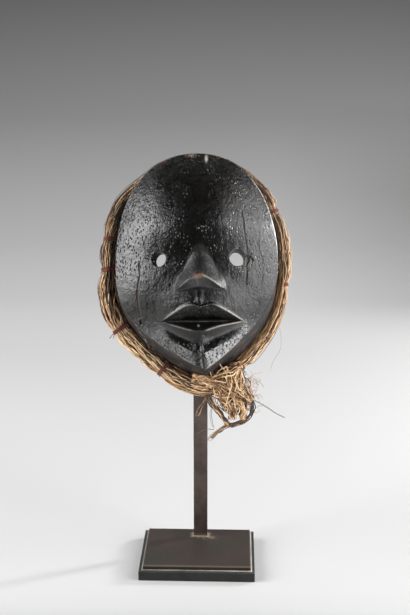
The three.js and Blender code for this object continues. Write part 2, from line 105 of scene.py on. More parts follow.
# Thread: its radius, its turns and the points along it
THREAD_RADIUS = 0.44
THREAD_TURNS = 5.3
THREAD_RINGS = 170

# Stand: the middle and half width of the bar, its distance from the plate's back edge, and the
# longest edge and most rounds of splitting in the finer copies of its solids
BAR_MIDDLE = 2.0
BAR_HALF_WIDTH = 7.75
BAR_TO_BACK = 14.3
LONGEST_EDGE = 0.0035
SPLITS = 7

# Camera: the picture's height and the focal length in pixels, and the place and angles of the view
IMAGE_HEIGHT = 615
FOCAL_PIXELS = 1050
SENSOR = 36.0
CAMERA_PLACE = (0.039, -1.063, 0.590)
CAMERA_DOWN = 15.53
CAMERA_TURN = 1.68

# Lights: where each one is, the point it faces, its width, height and radiance
LIGHTS = {
    "left_window": ((-1.36, -0.3, 0.98), (0, 0, 0.35), 0.95, 1.0, 22.0),
    "right_window": ((1.34, -0.41, 0.98), (0, 0, 0.4), 1.15, 1.6, 10.4),
    "right_lamp": ((1.3, 0.58, 0.66), (0, 0, 0.25), 0.1, 0.3, 330.0),
    "overhead": ((0.0, 1.3, 1.9), (0, 0.9, 0), 1.8, 0.8, 5.0),
    "left_low": ((-1.3, -0.35, 0.2), (0, 0, 0.3), 0.8, 0.35, 5.5),
    "right_low": ((1.3, -0.45, 0.18), (0, 0, 0.3), 0.8, 0.35, 4.5),
    "left_card": ((-0.28, -0.29, 0.02), (-0.28, -0.28, 1), 0.36, 0.2, 17.0),
    "right_card": ((0.38, -0.28, 0.02), (0.38, -0.27, 1), 0.28, 0.24, 48.0),
}
WORLD_STRENGTH = 0.04

# Floor that sweeps up into the backdrop, in metres
SWEEP_FRONT = -2.5
SWEEP_START = 0.75
SWEEP_RADIUS = 0.9
SWEEP_STEPS = 24
SWEEP_TOP = 3.2
SWEEP_HALF_WIDTH = 3.5


# Shape of the face: the solid model's form, with its carving cut finer


def clamp01(x):
    return np.clip(x, 0, 1)


def smooth(x):
    return clamp01(x) ** 2 * (3 - 2 * clamp01(x))


def mix(a, b, t):
    return a + (b - a) * t


def bump(du, dv=0):
    return np.exp(-(du * du + dv * dv))


def along(stations, x):
    at, value = zip(*stations)
    return np.interp(x, at, value)


def through(stations, x):
    """A smooth line through (x, y) stations."""
    at, value = np.array(stations, float).T
    slope = np.gradient(value, at)
    cell = np.clip(np.searchsorted(at, x) - 1, 0, len(at) - 2)
    run = at[cell + 1] - at[cell]
    t = clamp01((x - at[cell]) / run)
    rise = t * t * (3 - 2 * t)
    leave = t * (1 - t) ** 2 * run * slope[cell]
    arrive = t * t * (t - 1) * run * slope[cell + 1]
    return mix(value[cell], value[cell + 1], rise) + leave + arrive


def inside_outline(u, v):
    chinward = clamp01((-v - 70) / (CHIN - 70))
    full_cheek = np.where(u < 0, 1 + 0.05 * bump((v + 47) / 26), 1)
    across = np.abs(u - CHIN_SHIFT * chinward**2) / (HALF_WIDTH * full_cheek)
    above = across**2.2 + np.maximum(v / BROW, 0) ** 2.2 < 1
    below = across**1.05 + np.maximum(-v / CHIN, 0) ** 2.15 < 1
    return np.where(v >= 0, above, below)


def outline_distance(start, angle):
    near = np.zeros_like(angle)
    far = np.full_like(angle, BROW + CHIN)
    for _ in range(30):
        middle = (near + far) / 2
        inside = inside_outline(start[0] + middle * np.cos(angle), start[1] + middle * np.sin(angle))
        near = np.where(inside, middle, near)
        far = np.where(inside, far, middle)
    return near


def outward_share(u, v):
    return np.hypot(u, v) / outline_distance((0, 0), np.arctan2(v, u))


def edge_height(v):
    return 12 + 30 * clamp01((BROW - v) / 240) ** 1.3


def dome_height(u, v):
    crown = 32 + 10 * smooth((v - 2) / 45)
    return edge_height(v) + crown * np.maximum(0, 1 - outward_share(u, v) ** 2.05)


# The carving: where each form starts and ends, and how far it stands proud or is sunk
NOSE = {"left": -20, "right": 29, "middle": 4.5, "foot": -27.5, "crest": 13.5, "half_width": 23.5}
NOSE_EDGE = [(0, 16), (5, 12), (9, 5), (12.5, -3), (15.5, -8.5), (19.5, -12), (22.5, -18), (25, -27.5)]
LIPS = {"left": -37, "right": 48, "full_after": 36, "fade": 3}
LIP_HEIGHTS = {"upper": 2.5, "slit": -14.5, "lower": 3, "undercut": -8}
UNDERCUT_RUN = 11
MUZZLE = {"u": 5, "v": -52, "half_width": 62, "half_height": 50, "rise": 9}
UPPER_ARRIS = [(-37, -58.5), (-25, -51), (-4.6, -42), (5, -44), (16.5, -42), (31, -49), (48, -60)]
LIP_SLIT = [(-37, -58.5), (5, -59.5), (48, -60)]
LOWER_ARRIS = [(-37, -59), (-20, -64.5), (3, -69.5), (24, -64.5), (48, -60.5)]
UNDERCUT = [(-37, -62), (-20, -73), (3, -82), (24, -74), (48, -62)]


def beside_nose(u):
    """Distance from the ridge of the nose, which is rounded."""
    return np.hypot(u - NOSE["middle"], 3.2) - 3.2


def nose_arris(u):
    return -11.8 - 15.7 * (beside_nose(u) / 22) ** 1.12


def nose_edge(u):
    return through(NOSE_EDGE, beside_nose(u))


ARRISES = [
    (nose_arris, NOSE),
    (lambda u: through(UPPER_ARRIS, u), LIPS),
    (lambda u: through(LIP_SLIT, u), LIPS),
    (lambda u: through(LOWER_ARRIS, u), LIPS),
]


def nose_height(u, v):
    arris = nose_arris(u)
    edge = nose_edge(u)
    foot = NOSE["foot"] + 2.2 * bump((u - NOSE["middle"]) / 16)
    crest = NOSE["crest"] * np.maximum(0, 1 - (beside_nose(u) / NOSE["half_width"]) ** 2.8)
    underside = crest * clamp01((v - foot) / np.maximum(arris - foot, 0.6)) ** 1.3
    share = clamp01((edge - v) / np.maximum(edge - arris, 0.01))
    bridge = 0.4 * share**1.5 + 0.6 * smooth(share)
    wing = smooth(share) ** 0.75
    rounded = mix(bridge, wing, smooth((beside_nose(u) - 7) / 9))
    return np.where(v < arris, underside, crest * rounded)


def lip_height(u, v):
    """Two lips with a sunk slit between them and an undercut below, on a muzzle."""
    to_corner = np.minimum(u - LIPS["left"], LIPS["right"] - u)
    fullness = clamp01(to_corner / LIPS["full_after"]) ** 0.85
    top = through(UPPER_ARRIS, u)
    bottom = through(UNDERCUT, u)
    steps = [
        (bottom, LIP_HEIGHTS["undercut"], 1.6),
        (through(LOWER_ARRIS, u), LIP_HEIGHTS["lower"], 0.9),
        (through(LIP_SLIT, u), LIP_HEIGHTS["slit"], 1.2),
        (top, LIP_HEIGHTS["upper"], 1),
    ]
    height = LIP_HEIGHTS["undercut"] * smooth((v - bottom + UNDERCUT_RUN) / UNDERCUT_RUN)
    for (low, from_height, power), (high, to_height, _) in zip(steps, steps[1:]):
        share = clamp01((v - low) / np.maximum(high - low, 0.01))
        height = np.where(v >= low, mix(from_height, to_height, share**power), height)
    above = LIP_HEIGHTS["upper"] * (1 - clamp01((v - top) / LIPS["fade"])) ** 2
    height = fullness * np.where(v >= top, above, height)
    height = np.where(to_corner > 0, height, 0)
    off_u = (u - MUZZLE["u"]) / MUZZLE["half_width"]
    off_v = (v - MUZZLE["v"]) / MUZZLE["half_height"]
    return height + MUZZLE["rise"] * np.maximum(0, 1 - off_u**2 - off_v**2) ** 2


def philtrum_height(u, v):
    """The fold between the nose and the lips, its foot and the peak of the upper lip."""
    fold = 0.8 * bump((u - 3.5) / 3.2) * smooth((v + 44) / 5) * smooth((-24 - v) / 4)
    foot = 0.7 * bump((u - 3.5) / 3, (v + 39) / 3)
    lips_peak = 0.9 * bump((u - 17) / 3.5, (v + 43) / 2)
    return fold + foot + lips_peak


def chin_height(u, v):
    """The chin's two planes, with a groove between them and a step up to the right one."""
    below = smooth((-74 - v) / 8)
    off = u - mix(5.5, 8.5, clamp01((-80 - v) / 28))
    step = 3.2 * smooth((off + 4) / 4) * np.maximum(0, 1 - np.maximum(off, 0) / 30)
    groove = 1.4 * bump((off + 5) / 4.5)
    left_plane = 1.6 * bump((off + 24) / 16, (v + 90) / 16)
    return below * (step + left_plane - groove)


def face_height(u, v):
    carving = nose_height(u, v) + lip_height(u, v) + philtrum_height(u, v) + chin_height(u, v)
    return dome_height(u, v) + carving


def rim_section(angle):
    """Front arris, outward normal, back edge and inner edge of the rim at angles from the mouth."""

    def at(turn):
        reach = outline_distance(MOUTH, turn)
        return MOUTH[0] + reach * np.cos(turn), MOUTH[1] + reach * np.sin(turn)

    front = at(angle)
    before = at(angle - 0.04)
    after = at(angle + 0.04)
    spread = np.hypot(after[0] - before[0], after[1] - before[1])
    normal = np.stack([(after[1] - before[1]) / spread, (before[0] - after[0]) / spread], -1)
    flare = (12 + 2.6 * bump((front[0] + 14) / 22)) * smooth((-5 - front[1]) / 80)
    arris = np.stack([front[0], front[1]], -1)
    back = arris + normal * flare[..., None]
    return arris, normal, back, back - normal * RIM_WIDTH


def ceiling_height(u, v, share):
    """Height of the hollow's surface behind the face."""
    return np.maximum(4, dome_height(u, v) - WALL) * np.sqrt(1 - share**8)


# Smooth random values on a lattice, from -1 to 1


def lattice_noise(u, v, w, size, seed):
    position = np.stack(np.broadcast_arrays(u, v, w), -1) / size
    cell = np.floor(position).astype(np.int64)
    part = position - cell
    part = part * part * (3 - 2 * part)
    total = 0
    for corner in range(8):
        step = np.array([corner & 1, corner >> 1 & 1, corner >> 2 & 1])
        x, y, z = np.moveaxis(cell + step, -1, 0)
        mixed = (x * 374761393 + y * 668265263 + z * 1442695041 + seed * 97531) & 0xFFFFFFFF
        mixed = ((mixed ^ (mixed >> 13)) * 1274126177) & 0xFFFFFFFF
        value = ((mixed ^ (mixed >> 16)) & 0xFFFF) / 32767.5 - 1
        weight = np.prod(np.where(step == 1, part, 1 - part), -1)
        total = total + weight * value
    return total


def distance_to_line(points, line):
    """Distance of each point from a polyline."""
    nearest = np.full(points.shape[:-1], np.inf)
    for start, end in zip(line, line[1:]):
        run = end - start
        share = clamp01(((points - start) @ run) / (run @ run))
        nearest = np.minimum(nearest, np.linalg.norm(points - start - share[..., None] * run, axis=-1))
    return nearest


# Meshes


def mask_to_world():
    """The mask's own frame, in the frame of the whole object."""
    turn = Matrix.Rotation(math.pi / 2 - MASK_LEAN, 4, "X") @ Matrix.Rotation(MASK_ROLL, 4, "Z")
    place = Matrix.Translation(Vector((MASK_SIDE, MASK_BACK, PLATE_TOP + MASK_RISE)) * MM)
    return place @ turn @ Matrix.Scale(MM, 4)


def to_world(points):
    matrix = np.array(mask_to_world())
    return points @ matrix[:3, :3].T + matrix[:3, 3]


def mesh_piece(name, points, triangles, **values):
    """An object from world points in metres, with a named value at each point for its material."""
    mesh = bpy.data.meshes.new(name)
    mesh.vertices.add(len(points))
    mesh.vertices.foreach_set("co", np.asarray(points, np.float32).ravel())
    mesh.loops.add(3 * len(triangles))
    mesh.loops.foreach_set("vertex_index", np.asarray(triangles, np.int32).ravel())
    mesh.polygons.add(len(triangles))
    mesh.polygons.foreach_set("loop_start", np.arange(0, 3 * len(triangles), 3, dtype=np.int32))
    mesh.update(calc_edges=True)
    for value_name, value in values.items():
        attribute = mesh.attributes.new(value_name, "FLOAT", "POINT")
        attribute.data.foreach_set("value", np.asarray(value, np.float32).ravel())
    mesh.shade_smooth()
    piece = bpy.data.objects.new(name, mesh)
    bpy.context.scene.collection.objects.link(piece)
    return piece


def finish_piece(piece, material, slot, *nodes):
    """Gives a piece its material, and says what it rides on and replaces."""
    piece.data.materials.clear()
    piece.data.materials.append(material)
    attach(piece, "root")
    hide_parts(*nodes)


# Colours and finishes


class Shader:
    """A node material with a Principled surface."""

    def __init__(self, name, **constants):
        self.material = bpy.data.materials.new(name)
        self.material.use_nodes = True
        self.tree = self.material.node_tree
        self.surface = self.tree.nodes["Principled BSDF"]
        for socket, value in constants.items():
            self.surface.inputs[socket.replace("_", " ")].default_value = value
        coordinates = self.tree.nodes.new("ShaderNodeTexCoord")
        self.place = coordinates.outputs["Object"]

    def plug(self, socket, value):
        """Links a value that comes from a node, and sets a plain one."""
        if isinstance(value, bpy.types.NodeSocket):
            self.tree.links.new(value, socket)
        else:
            socket.default_value = value

    def node(self, kind, inputs=(), **settings):
        made = self.tree.nodes.new(kind)
        for key, value in settings.items():
            setattr(made, key, value)
        for name, value in dict(inputs).items():
            self.plug(made.inputs[name], value)
        return made

    def scaled(self, x, y, z, turn=0.0):
        """Object coordinates turned about X and stretched, so that a texture runs along the piece."""
        turned = self.node("ShaderNodeMapping", {"Vector": self.place, "Rotation": (turn, 0, 0)})
        inputs = {"Vector": turned.outputs[0], "Scale": (x, y, z)}
        return self.node("ShaderNodeMapping", inputs).outputs[0]

    def noise(self, vector, scale, detail=4.0, roughness=0.55, distortion=0.0):
        inputs = {"Vector": vector, "Scale": scale, "Detail": detail}
        inputs.update({"Roughness": roughness, "Distortion": distortion})
        return self.node("ShaderNodeTexNoise", inputs).outputs["Fac"]

    def pits(self, vector, scale):
        """Distance from the nearest of many scattered points."""
        return self.node("ShaderNodeTexVoronoi", {"Vector": vector, "Scale": scale}).outputs["Distance"]

    def value(self, name):
        return self.node("ShaderNodeAttribute", attribute_name=name).outputs["Fac"]

    def ramp(self, factor, *stops):
        """A value or colour that changes with the factor, from (place, value) stops."""
        made = self.node("ShaderNodeValToRGB", {"Fac": factor})
        band = made.color_ramp.elements
        while len(band) < len(stops):
            band.new(0.5)
        for element, (place, shade) in zip(band, stops):
            element.position = place
            colour = shade if isinstance(shade, tuple) else (shade, shade, shade)
            element.color = (*colour, 1)
        return made.outputs["Color"]

    def blend(self, factor, below, above, blend_type="MIX"):
        """Lays one colour, value or node output over another."""
        below, above = ((*value, 1) if isinstance(value, tuple) else value for value in (below, above))
        inputs = {0: factor, 6: below, 7: above}
        made = self.node("ShaderNodeMix", inputs, data_type="RGBA", blend_type=blend_type)
        return made.outputs[2]

    def math(self, operation, *values):
        return self.node("ShaderNodeMath", dict(enumerate(values)), operation=operation).outputs[0]

    def relief(self, *layers):
        """Bumps of (height, depth in metres), one over the other."""
        inputs = {"Strength": 1.0}
        for height, depth in layers:
            inputs.update({"Height": height, "Distance": depth})
            inputs["Normal"] = self.node("ShaderNodeBump", inputs).outputs[0]
        self.tree.links.new(inputs["Normal"], self.surface.inputs["Normal"])

    def feed(self, **outputs):
        for socket, value in outputs.items():
            self.tree.links.new(value, self.surface.inputs[socket.replace("_", " ")])
        return self.material


def carved_wood():
    """Black patina with fine pits and grain along the face, brown where it is rubbed through."""
    shader = Shader("carved_wood", Specular_IOR_Level=0.27)
    grain = shader.noise(shader.scaled(420, 420, 34, MASK_LEAN), 1, 6, 0.6)
    clouds = shader.noise(shader.place, 26, 5, 0.6)
    specks = shader.noise(shader.place, 620, 3, 0.5)
    pits = shader.pits(shader.scaled(1, 1, 0.55, MASK_LEAN), 430)
    pitted = shader.math("MULTIPLY", shader.value("pitted"), shader.ramp(pits, (0.0, 1.0), (0.34, 0.0)))
    patina = shader.ramp(clouds, (0.3, (0.0004, 0.0004, 0.0004)), (0.7, (0.002, 0.0018, 0.0016)))
    streaked = shader.blend(shader.ramp(grain, (0.45, 0.0), (0.8, 0.4)), patina, (0.006, 0.005, 0.0042))
    brown = shader.ramp(specks, (0.35, (0.025, 0.01, 0.005)), (0.7, (0.09, 0.045, 0.026)))
    rubbed = shader.blend(shader.value("rubbed"), streaked, brown)
    # The pale mark holds real chips and scratches, and painted highlights along the arrises and on the lips.
    pale = shader.blend(shader.value("pale"), rubbed, (0.26, 0.24, 0.22))
    colour = shader.blend(shader.value("crack"), pale, (0.002, 0.0015, 0.001))
    sheen = shader.noise(shader.place, 90, 6, 0.65)
    gloss = shader.ramp(sheen, (0.3, 0.22), (0.7, 0.36))
    roughness = shader.blend(shader.value("dull"), gloss, (0.75, 0.75, 0.75))
    tooling = shader.noise(shader.place, 160, 4, 0.6)
    sunk = shader.math("SUBTRACT", 1.0, pitted)
    shader.relief((tooling, 0.0006), (grain, 0.0003), (specks, 0.0002), (sunk, 0.0013))
    return shader.feed(Base_Color=colour, Roughness=roughness)


def dry_fibre(name, dark, middle, light, pale):
    """Dry plant fibre: each strand has its own tone, with darker and paler runs along it."""
    shader = Shader(name, Specular_IOR_Level=0.35, Roughness=0.62)
    runs = shader.noise(shader.place, 130, 4, 0.6)
    fine = shader.noise(shader.place, 1500, 3, 0.6)
    tone = shader.math("ADD", shader.value("tone"), shader.math("MULTIPLY_ADD", runs, 0.5, -0.25))
    body = shader.ramp(tone, (0.05, dark), (0.38, middle), (0.68, light), (0.97, pale))
    shade = shader.ramp(fine, (0.3, 0.72), (0.7, 1.0))
    shader.relief((fine, 0.0003))
    return shader.feed(Base_Color=shader.blend(1.0, body, shade, "MULTIPLY"))


def red_thread():
    shader = Shader("red_thread", Specular_IOR_Level=0.25, Roughness=0.8)
    fuzz = shader.noise(shader.place, 900, 4, 0.6)
    colour = shader.ramp(fuzz, (0.3, (0.028, 0.008, 0.005)), (0.7, (0.12, 0.034, 0.022)))
    shader.relief((fuzz, 0.0004))
    return shader.feed(Base_Color=colour)


def brown_metal():
    """Chemically browned metal, rubbed unevenly, with a pale halo where the bar meets the plate."""
    shader = Shader("brown_metal", Metallic=0.1, Specular_IOR_Level=0.1)
    clouds = shader.noise(shader.scaled(1, 1, 0.6), 24, 6, 0.65, 0.6)
    fine = shader.noise(shader.place, 380, 5, 0.6)
    grey, brown, red = (0.021, 0.02, 0.017), (0.024, 0.0195, 0.017), (0.03, 0.021, 0.02)
    colour = shader.ramp(clouds, (0.34, grey), (0.5, brown), (0.66, red))
    wear_and_highlight = shader.blend(shader.value("wear_and_highlight"), colour, (0.22, 0.175, 0.13))
    roughness = shader.ramp(fine, (0.3, 0.27), (0.7, 0.4))
    shader.relief((fine, 0.00012))
    return shader.feed(Base_Color=wear_and_highlight, Roughness=roughness)


def bar_metal():
    shader = Shader("bar_metal", Metallic=0.35, Specular_IOR_Level=0.25)
    streaks = shader.noise(shader.scaled(300, 300, 18), 1, 5, 0.6)
    clouds = shader.noise(shader.place, 60, 5, 0.6)
    brown = shader.ramp(clouds, (0.35, (0.026, 0.019, 0.016)), (0.65, (0.05, 0.036, 0.031)))
    colour = shader.blend(shader.ramp(streaks, (0.45, 0.0), (0.8, 0.6)), brown, (0.055, 0.042, 0.035))
    wear_and_highlight = shader.blend(shader.value("wear_and_highlight"), colour, (0.15, 0.11, 0.085))
    roughness = shader.ramp(streaks, (0.3, 0.4), (0.7, 0.58))
    shader.relief((streaks, 0.0001), (clouds, 0.0001))
    return shader.feed(Base_Color=wear_and_highlight, Roughness=roughness)


def black_metal():
    shader = Shader("black_metal", Metallic=0.2, Specular_IOR_Level=0.2)
    grit = shader.noise(shader.place, 700, 4, 0.6)
    clouds = shader.noise(shader.place, 45, 4, 0.6)
    colour = shader.ramp(clouds, (0.3, (0.017, 0.018, 0.017)), (0.7, (0.03, 0.03, 0.028)))
    # On the plinth the pale colour is the rubbed ledge and the highlight painted on it.
    wear_and_highlight = shader.blend(shader.value("wear_and_highlight"), colour, (0.36, 0.34, 0.3))
    roughness = shader.ramp(grit, (0.3, 0.5), (0.7, 0.66))
    shader.relief((grit, 0.0001))
    return shader.feed(Base_Color=wear_and_highlight, Roughness=roughness)


# Marks of age on the mask, as lines of (u, v) on the face: cracks with their width and depth

FACE_CRACKS = [
    ([(49, 53), (50.3, 42), (50.8, 32), (52.3, 20), (53.1, 11), (52.3, 0), (52.2, -10), (50.8, -23)],
     0.42, 0.6),
    ([(50.5, 6.5), (53.5, 6.8), (57.4, 4.6), (59, 2.2)], 0.7, 1.2),
    ([(52, 7.5), (54.5, 3.2), (52.6, -1)], 0.7, 1.1),
    ([(55.5, 6), (56.8, 9)], 0.4, 0.7),
    ([(66.2, 29), (65.4, 18), (66.3, 11), (69, 4), (69.5, -6), (68, -20)], 0.34, 0.3),
    ([(-58.9, 4), (-59, -11), (-60.9, -21), (-62.1, -32), (-61.4, -42), (-59.5, -54)], 0.5, 1.0),
    ([(-59.2, -57.5), (-59.2, -60.5)], 1.3, 2.6),
    ([(-75, 53), (-71.6, 55.2), (-67, 54.7), (-63.5, 52.2), (-65.2, 49.1), (-69.1, 47.8), (-73.2, 50.4)],
     0.35, 0.35),
    ([(-30, -57.8), (5, -58.3), (40, -59)], 0.45, 0.5),
]
RED_LINE = [(-61, -20), (-62, -36), (-60, -52)]

# The crack that runs on over the side wall, as (share of the way to its back edge, v of the rim)
WALL_CRACK = [(0.02, -61), (0.3, -65.5), (0.42, -69.5), (0.5, -73), (0.66, -79), (0.85, -86)]
WALL_CRACK_U = -55.0

# What each point of the mask says for its material, and what the hollow's points say
MARKS = ("crack", "rubbed", "pale", "pitted", "dull")
HOLLOW_MARKS = (0, 0.25, 0, 0.5, 0.8)


# Arrises polished by wear, with a painted highlight: their line, the span of u where they shine and how
# strongly
ARRISES_POLISHED_AND_PAINTED = [
    (UPPER_ARRIS, -36, -3, 0.32), (UPPER_ARRIS, 19, 49, 0.6), (LOWER_ARRIS, -30, -3, 0.22),
    (LOWER_ARRIS, 7, 48, 0.5), (LIP_SLIT, -34, 34, 0.16),
]


def arris_polish_and_painted_highlight(u, v, share):
    """How polished the arrises of the carving and the edge are, and the highlight painted along them."""
    wear_and_highlight = np.zeros_like(u)
    for line, start, end, strength in ARRISES_POLISHED_AND_PAINTED:
        fade = smooth((u - start) / 5) * smooth((end - u) / 5)
        wear_and_highlight = np.maximum(wear_and_highlight, strength * fade * bump((v - through(line, u)) / 0.75))
    nose = bump((v - nose_arris(u)) / 0.75)
    wear_and_highlight = np.maximum(wear_and_highlight, 0.6 * nose * smooth((u - 6) / 3) * smooth((28 - u) / 3))
    wear_and_highlight = np.maximum(wear_and_highlight, 0.16 * nose * smooth((u + 18) / 3) * smooth((1 - u) / 3))
    # The edge's painted highlight is strongest at the right, where the light falls.
    edge = smooth((share - 0.988) / 0.009)
    brow = smooth((u - 38) / 14) * smooth((v - 2) / 20) * smooth((96 - v) / 10)
    chin = smooth((u - 6) / 4) * smooth((48 - u) / 20) * smooth((-62 - v) / 10)
    left = smooth((-10 - v) / 40) * smooth((2 - u) / 8)
    return np.maximum(wear_and_highlight, edge * (0.65 * brow + 0.34 * chin + 0.05 * left))


def cracks(u, v):
    """How cracked the face is, and how deep the cracks are."""
    place = np.stack([u + 0.35 * lattice_noise(u, v, 0, 4, 11), v], -1)
    crack = np.zeros_like(u)
    deep = np.zeros_like(u)
    for line, width, depth in FACE_CRACKS:
        away = distance_to_line(place, np.array(line, float)) / width
        crack = np.maximum(crack, clamp01(1.6 * bump(away / 1.2)))
        deep = np.maximum(deep, depth * bump(away))
    return crack, deep


def rubbed_brown(u, v, share, nose_tip, patches, specks):
    """Where the patina is rubbed through: the brow's edge, the nose's tip, specks and a red line."""
    brow_edge = smooth((share - 0.94) / 0.06) * smooth((v - 96) / 14)
    red_line = distance_to_line(np.stack([u, v], -1), np.array(RED_LINE, float))
    return np.maximum.reduce([
        0.75 * brow_edge * smooth((patches + 0.5 * specks) / 0.5),
        smooth((nose_tip - 0.3 + 0.35 * specks) / 0.35),
        0.5 * bump((u - 50) / 26, (v - 75) / 20) * smooth((specks - 0.45) / 0.3),
        0.35 * bump(red_line / 1.3),
    ])


def pale_marks_and_highlights(u, v, share, chip, specks):
    """Pale at the brow's chip and a scratch by it; painted highlights at a dot on the lips and the arrises.
    """
    scratch = 0.8 * bump((u + 1) / 5, (v - 117.5) / 1.5) * smooth(specks / 0.4)
    highlight_dot = 0.8 * bump((u - 1.5) / 0.8, (v + 64) / 0.8)
    return np.maximum.reduce([clamp01(1.3 * chip + scratch), highlight_dot, arris_polish_and_painted_highlight(u, v, share)])


def pitting(u, v, patches):
    """How pitted the face is, most of all at its left temple and on its chin."""
    left_temple = 1.1 * bump((u + 62) / 34, (v - 40) / 48)
    right_temple = 0.5 * bump((u - 62) / 30, (v - 45) / 60)
    pitted = clamp01(left_temple + right_temple + 0.08 + 0.3 * patches)
    return np.maximum(pitted, 0.45 * smooth((-70 - v) / 10))


def sheltered(u, v):
    """How dull the hollows of the lips and the nose are, where no hand has polished them."""
    lips = smooth((v - through(UNDERCUT, u) + 3) / 3) * smooth((through(UPPER_ARRIS, u) - v) / 2)
    lips = lips * (u > LIPS["left"]) * (u < LIPS["right"])
    lips = lips * mix(0.6, 0.1, smooth((v - through(LOWER_ARRIS, u)) / 2))
    under_nose = smooth((nose_arris(u) - v) / 2) * smooth((v - NOSE["foot"] + 2) / 2)
    flank = (beside_nose(u) < 27) * smooth((nose_edge(u) + 6 - v) / 4)
    flank = flank * smooth((v - nose_arris(u)) / 2)
    return np.maximum.reduce([lips, 0.54 * under_nose, 0.42 * flank])


def face_marks(u, v, share):
    """The marks at each point of the face, and how far these and its lumps stand proud of it."""
    grain = lattice_noise(u, v * 0.2, 0, 3, 3)
    patches = lattice_noise(u, v, 0, 9, 4)
    specks = lattice_noise(u, v, 0, 1.6, 5)
    nose_tip = bump((u - 4) / 6.5, (v + 12.5) / 3.6)
    chip = bump((u - 12.6) / 1.3, (v - 113.5) / 3.5)
    knot = bump((u - 6.8) / 1.8, (v + 73.5) / 1.2)
    crack, deep = cracks(u, v)
    rubbed = rubbed_brown(u, v, share, nose_tip, patches, specks)
    pale = pale_marks_and_highlights(u, v, share, chip, specks)
    pitted = pitting(u, v, patches)
    dull = clamp01(0.9 * crack + 0.5 * rubbed + sheltered(u, v) - arris_polish_and_painted_highlight(u, v, share))
    sunk = deep + 0.9 * chip + 0.35 * rubbed * nose_tip + 1.6 * knot
    lumps = 0.28 * lattice_noise(u, v * 0.6, 0, 13, 1) + 0.1 * patches + 0.05 * grain
    lumps = lumps + 0.09 * pitted * specks
    calm = 1 - 0.75 * smooth((np.abs(u - 5) < 45) * smooth((-38 - v) / 4) * smooth((v + 84) / 4))
    return np.stack([crack, rubbed, pale, pitted, dull], -1), lumps * calm - sunk


def snapped_to_arrises(u, v):
    """Moves the grid point nearest to each carved arris, in its column, onto the arris."""
    reach = 0.5 * np.abs(np.gradient(v, axis=1))
    for line, span in ARRISES:
        target = line(u)
        near = (u > span["left"]) & (u < span["right"]) & (np.abs(target - v) < reach)
        v = np.where(near, target, v)
    return v


def face_grid():
    x = np.linspace(-1, 1, COLUMNS + 1)[:, None]
    y = np.linspace(-1, 1, ROWS + 1)[None, :]
    disc_x = x * np.sqrt(1 - y * y / 2)
    disc_y = y * np.sqrt(1 - x * x / 2)
    share = np.hypot(disc_x, disc_y)
    angle = np.arctan2(disc_y * (BROW + CHIN) / 2, disc_x * HALF_WIDTH)
    reach = share * outline_distance((0, 0), angle)
    u = reach * np.cos(angle)
    v = reach * np.sin(angle)
    v[1:-1, 1:-1] = snapped_to_arrises(u, v)[1:-1, 1:-1]
    return u, v, share


def grid_triangles(index, height, target):
    """Two triangles for each cell, split along the diagonal that lies nearer to the carved surface."""
    a, b = index[:-1, :-1].ravel(), index[1:, :-1].ravel()
    c, d = index[1:, 1:].ravel(), index[:-1, 1:].ravel()
    first = (height[:-1, :-1] + height[1:, 1:]) / 2
    second = (height[1:, :-1] + height[:-1, 1:]) / 2
    along_first = (np.abs(first - target) < np.abs(second - target)).ravel()[:, None]
    one = np.where(along_first, np.stack([a, b, c], -1), np.stack([a, b, d], -1))
    two = np.where(along_first, np.stack([a, c, d], -1), np.stack([b, c, d], -1))
    return np.concatenate([one, two])


def strip_triangles(lower, upper):
    """Joins two closed loops of as many points."""
    next_lower = np.roll(lower, -1)
    next_upper = np.roll(upper, -1)
    return np.concatenate([
        np.stack([lower, next_lower, next_upper], -1),
        np.stack([lower, next_upper, upper], -1),
    ])


def coarser_triangles(coarse, fine):
    """Joins a closed loop to one with more points, a fan from each of its own."""
    count = len(fine)
    made = []
    for k, corner in enumerate(coarse):
        start = k * COARSER - COARSER // 2
        for step in range(COARSER):
            made.append((fine[(start + step) % count], fine[(start + step + 1) % count], corner))
        made.append((fine[(start + COARSER) % count], coarse[(k + 1) % len(coarse)], corner))
    return np.array(made)


def closing_triangles(top, ring):
    """Joins a closed loop to one point."""
    return np.stack([np.roll(ring, -1), ring, np.full(len(ring), top[0])], -1)


class Skin:
    """A closed mesh that grows ring by ring, with the marks of age at each of its points."""

    def __init__(self, points, marks, triangles, loop):
        self.points = [points]
        self.marks = [marks]
        self.triangles = [triangles]
        self.loop = loop
        self.count = len(points)

    def grow(self, points, marks, join):
        """Adds a ring of points and joins it to the last one."""
        ring = np.arange(self.count, self.count + len(points))
        self.points.append(points)
        self.marks.append(np.broadcast_to(marks, (len(points), len(MARKS))))
        self.triangles.append(join(ring, self.loop))
        self.loop = ring
        self.count += len(points)

    def piece(self, name):
        marks = np.concatenate(self.marks)
        named = {mark: marks[:, column] for column, mark in enumerate(MARKS)}
        points = to_world(np.concatenate(self.points))
        return mesh_piece(name, points, np.concatenate(self.triangles), **named)


def front_skin():
    """The carved front: its points, marks and triangles, and the points round its edge."""
    u, v, share = face_grid()
    marks, raised = face_marks(u, v, share)
    w = face_height(u, v) + raised * smooth((1 - share) / 0.012)
    index = np.arange(u.size).reshape(u.shape)
    centres = [(at[:-1, :-1] + at[1:, 1:] + at[1:, :-1] + at[:-1, 1:]) / 4 for at in (u, v)]
    triangles = grid_triangles(index, face_height(u, v), face_height(*centres))
    # Counter-clockwise, seen from the front
    loop = np.concatenate([index[:-1, 0], index[-1, :-1], index[:0:-1, -1], index[0, :0:-1]])
    points = np.stack([u, v, w], -1).reshape(-1, 3)
    return points, marks.reshape(-1, len(MARKS)), triangles, loop


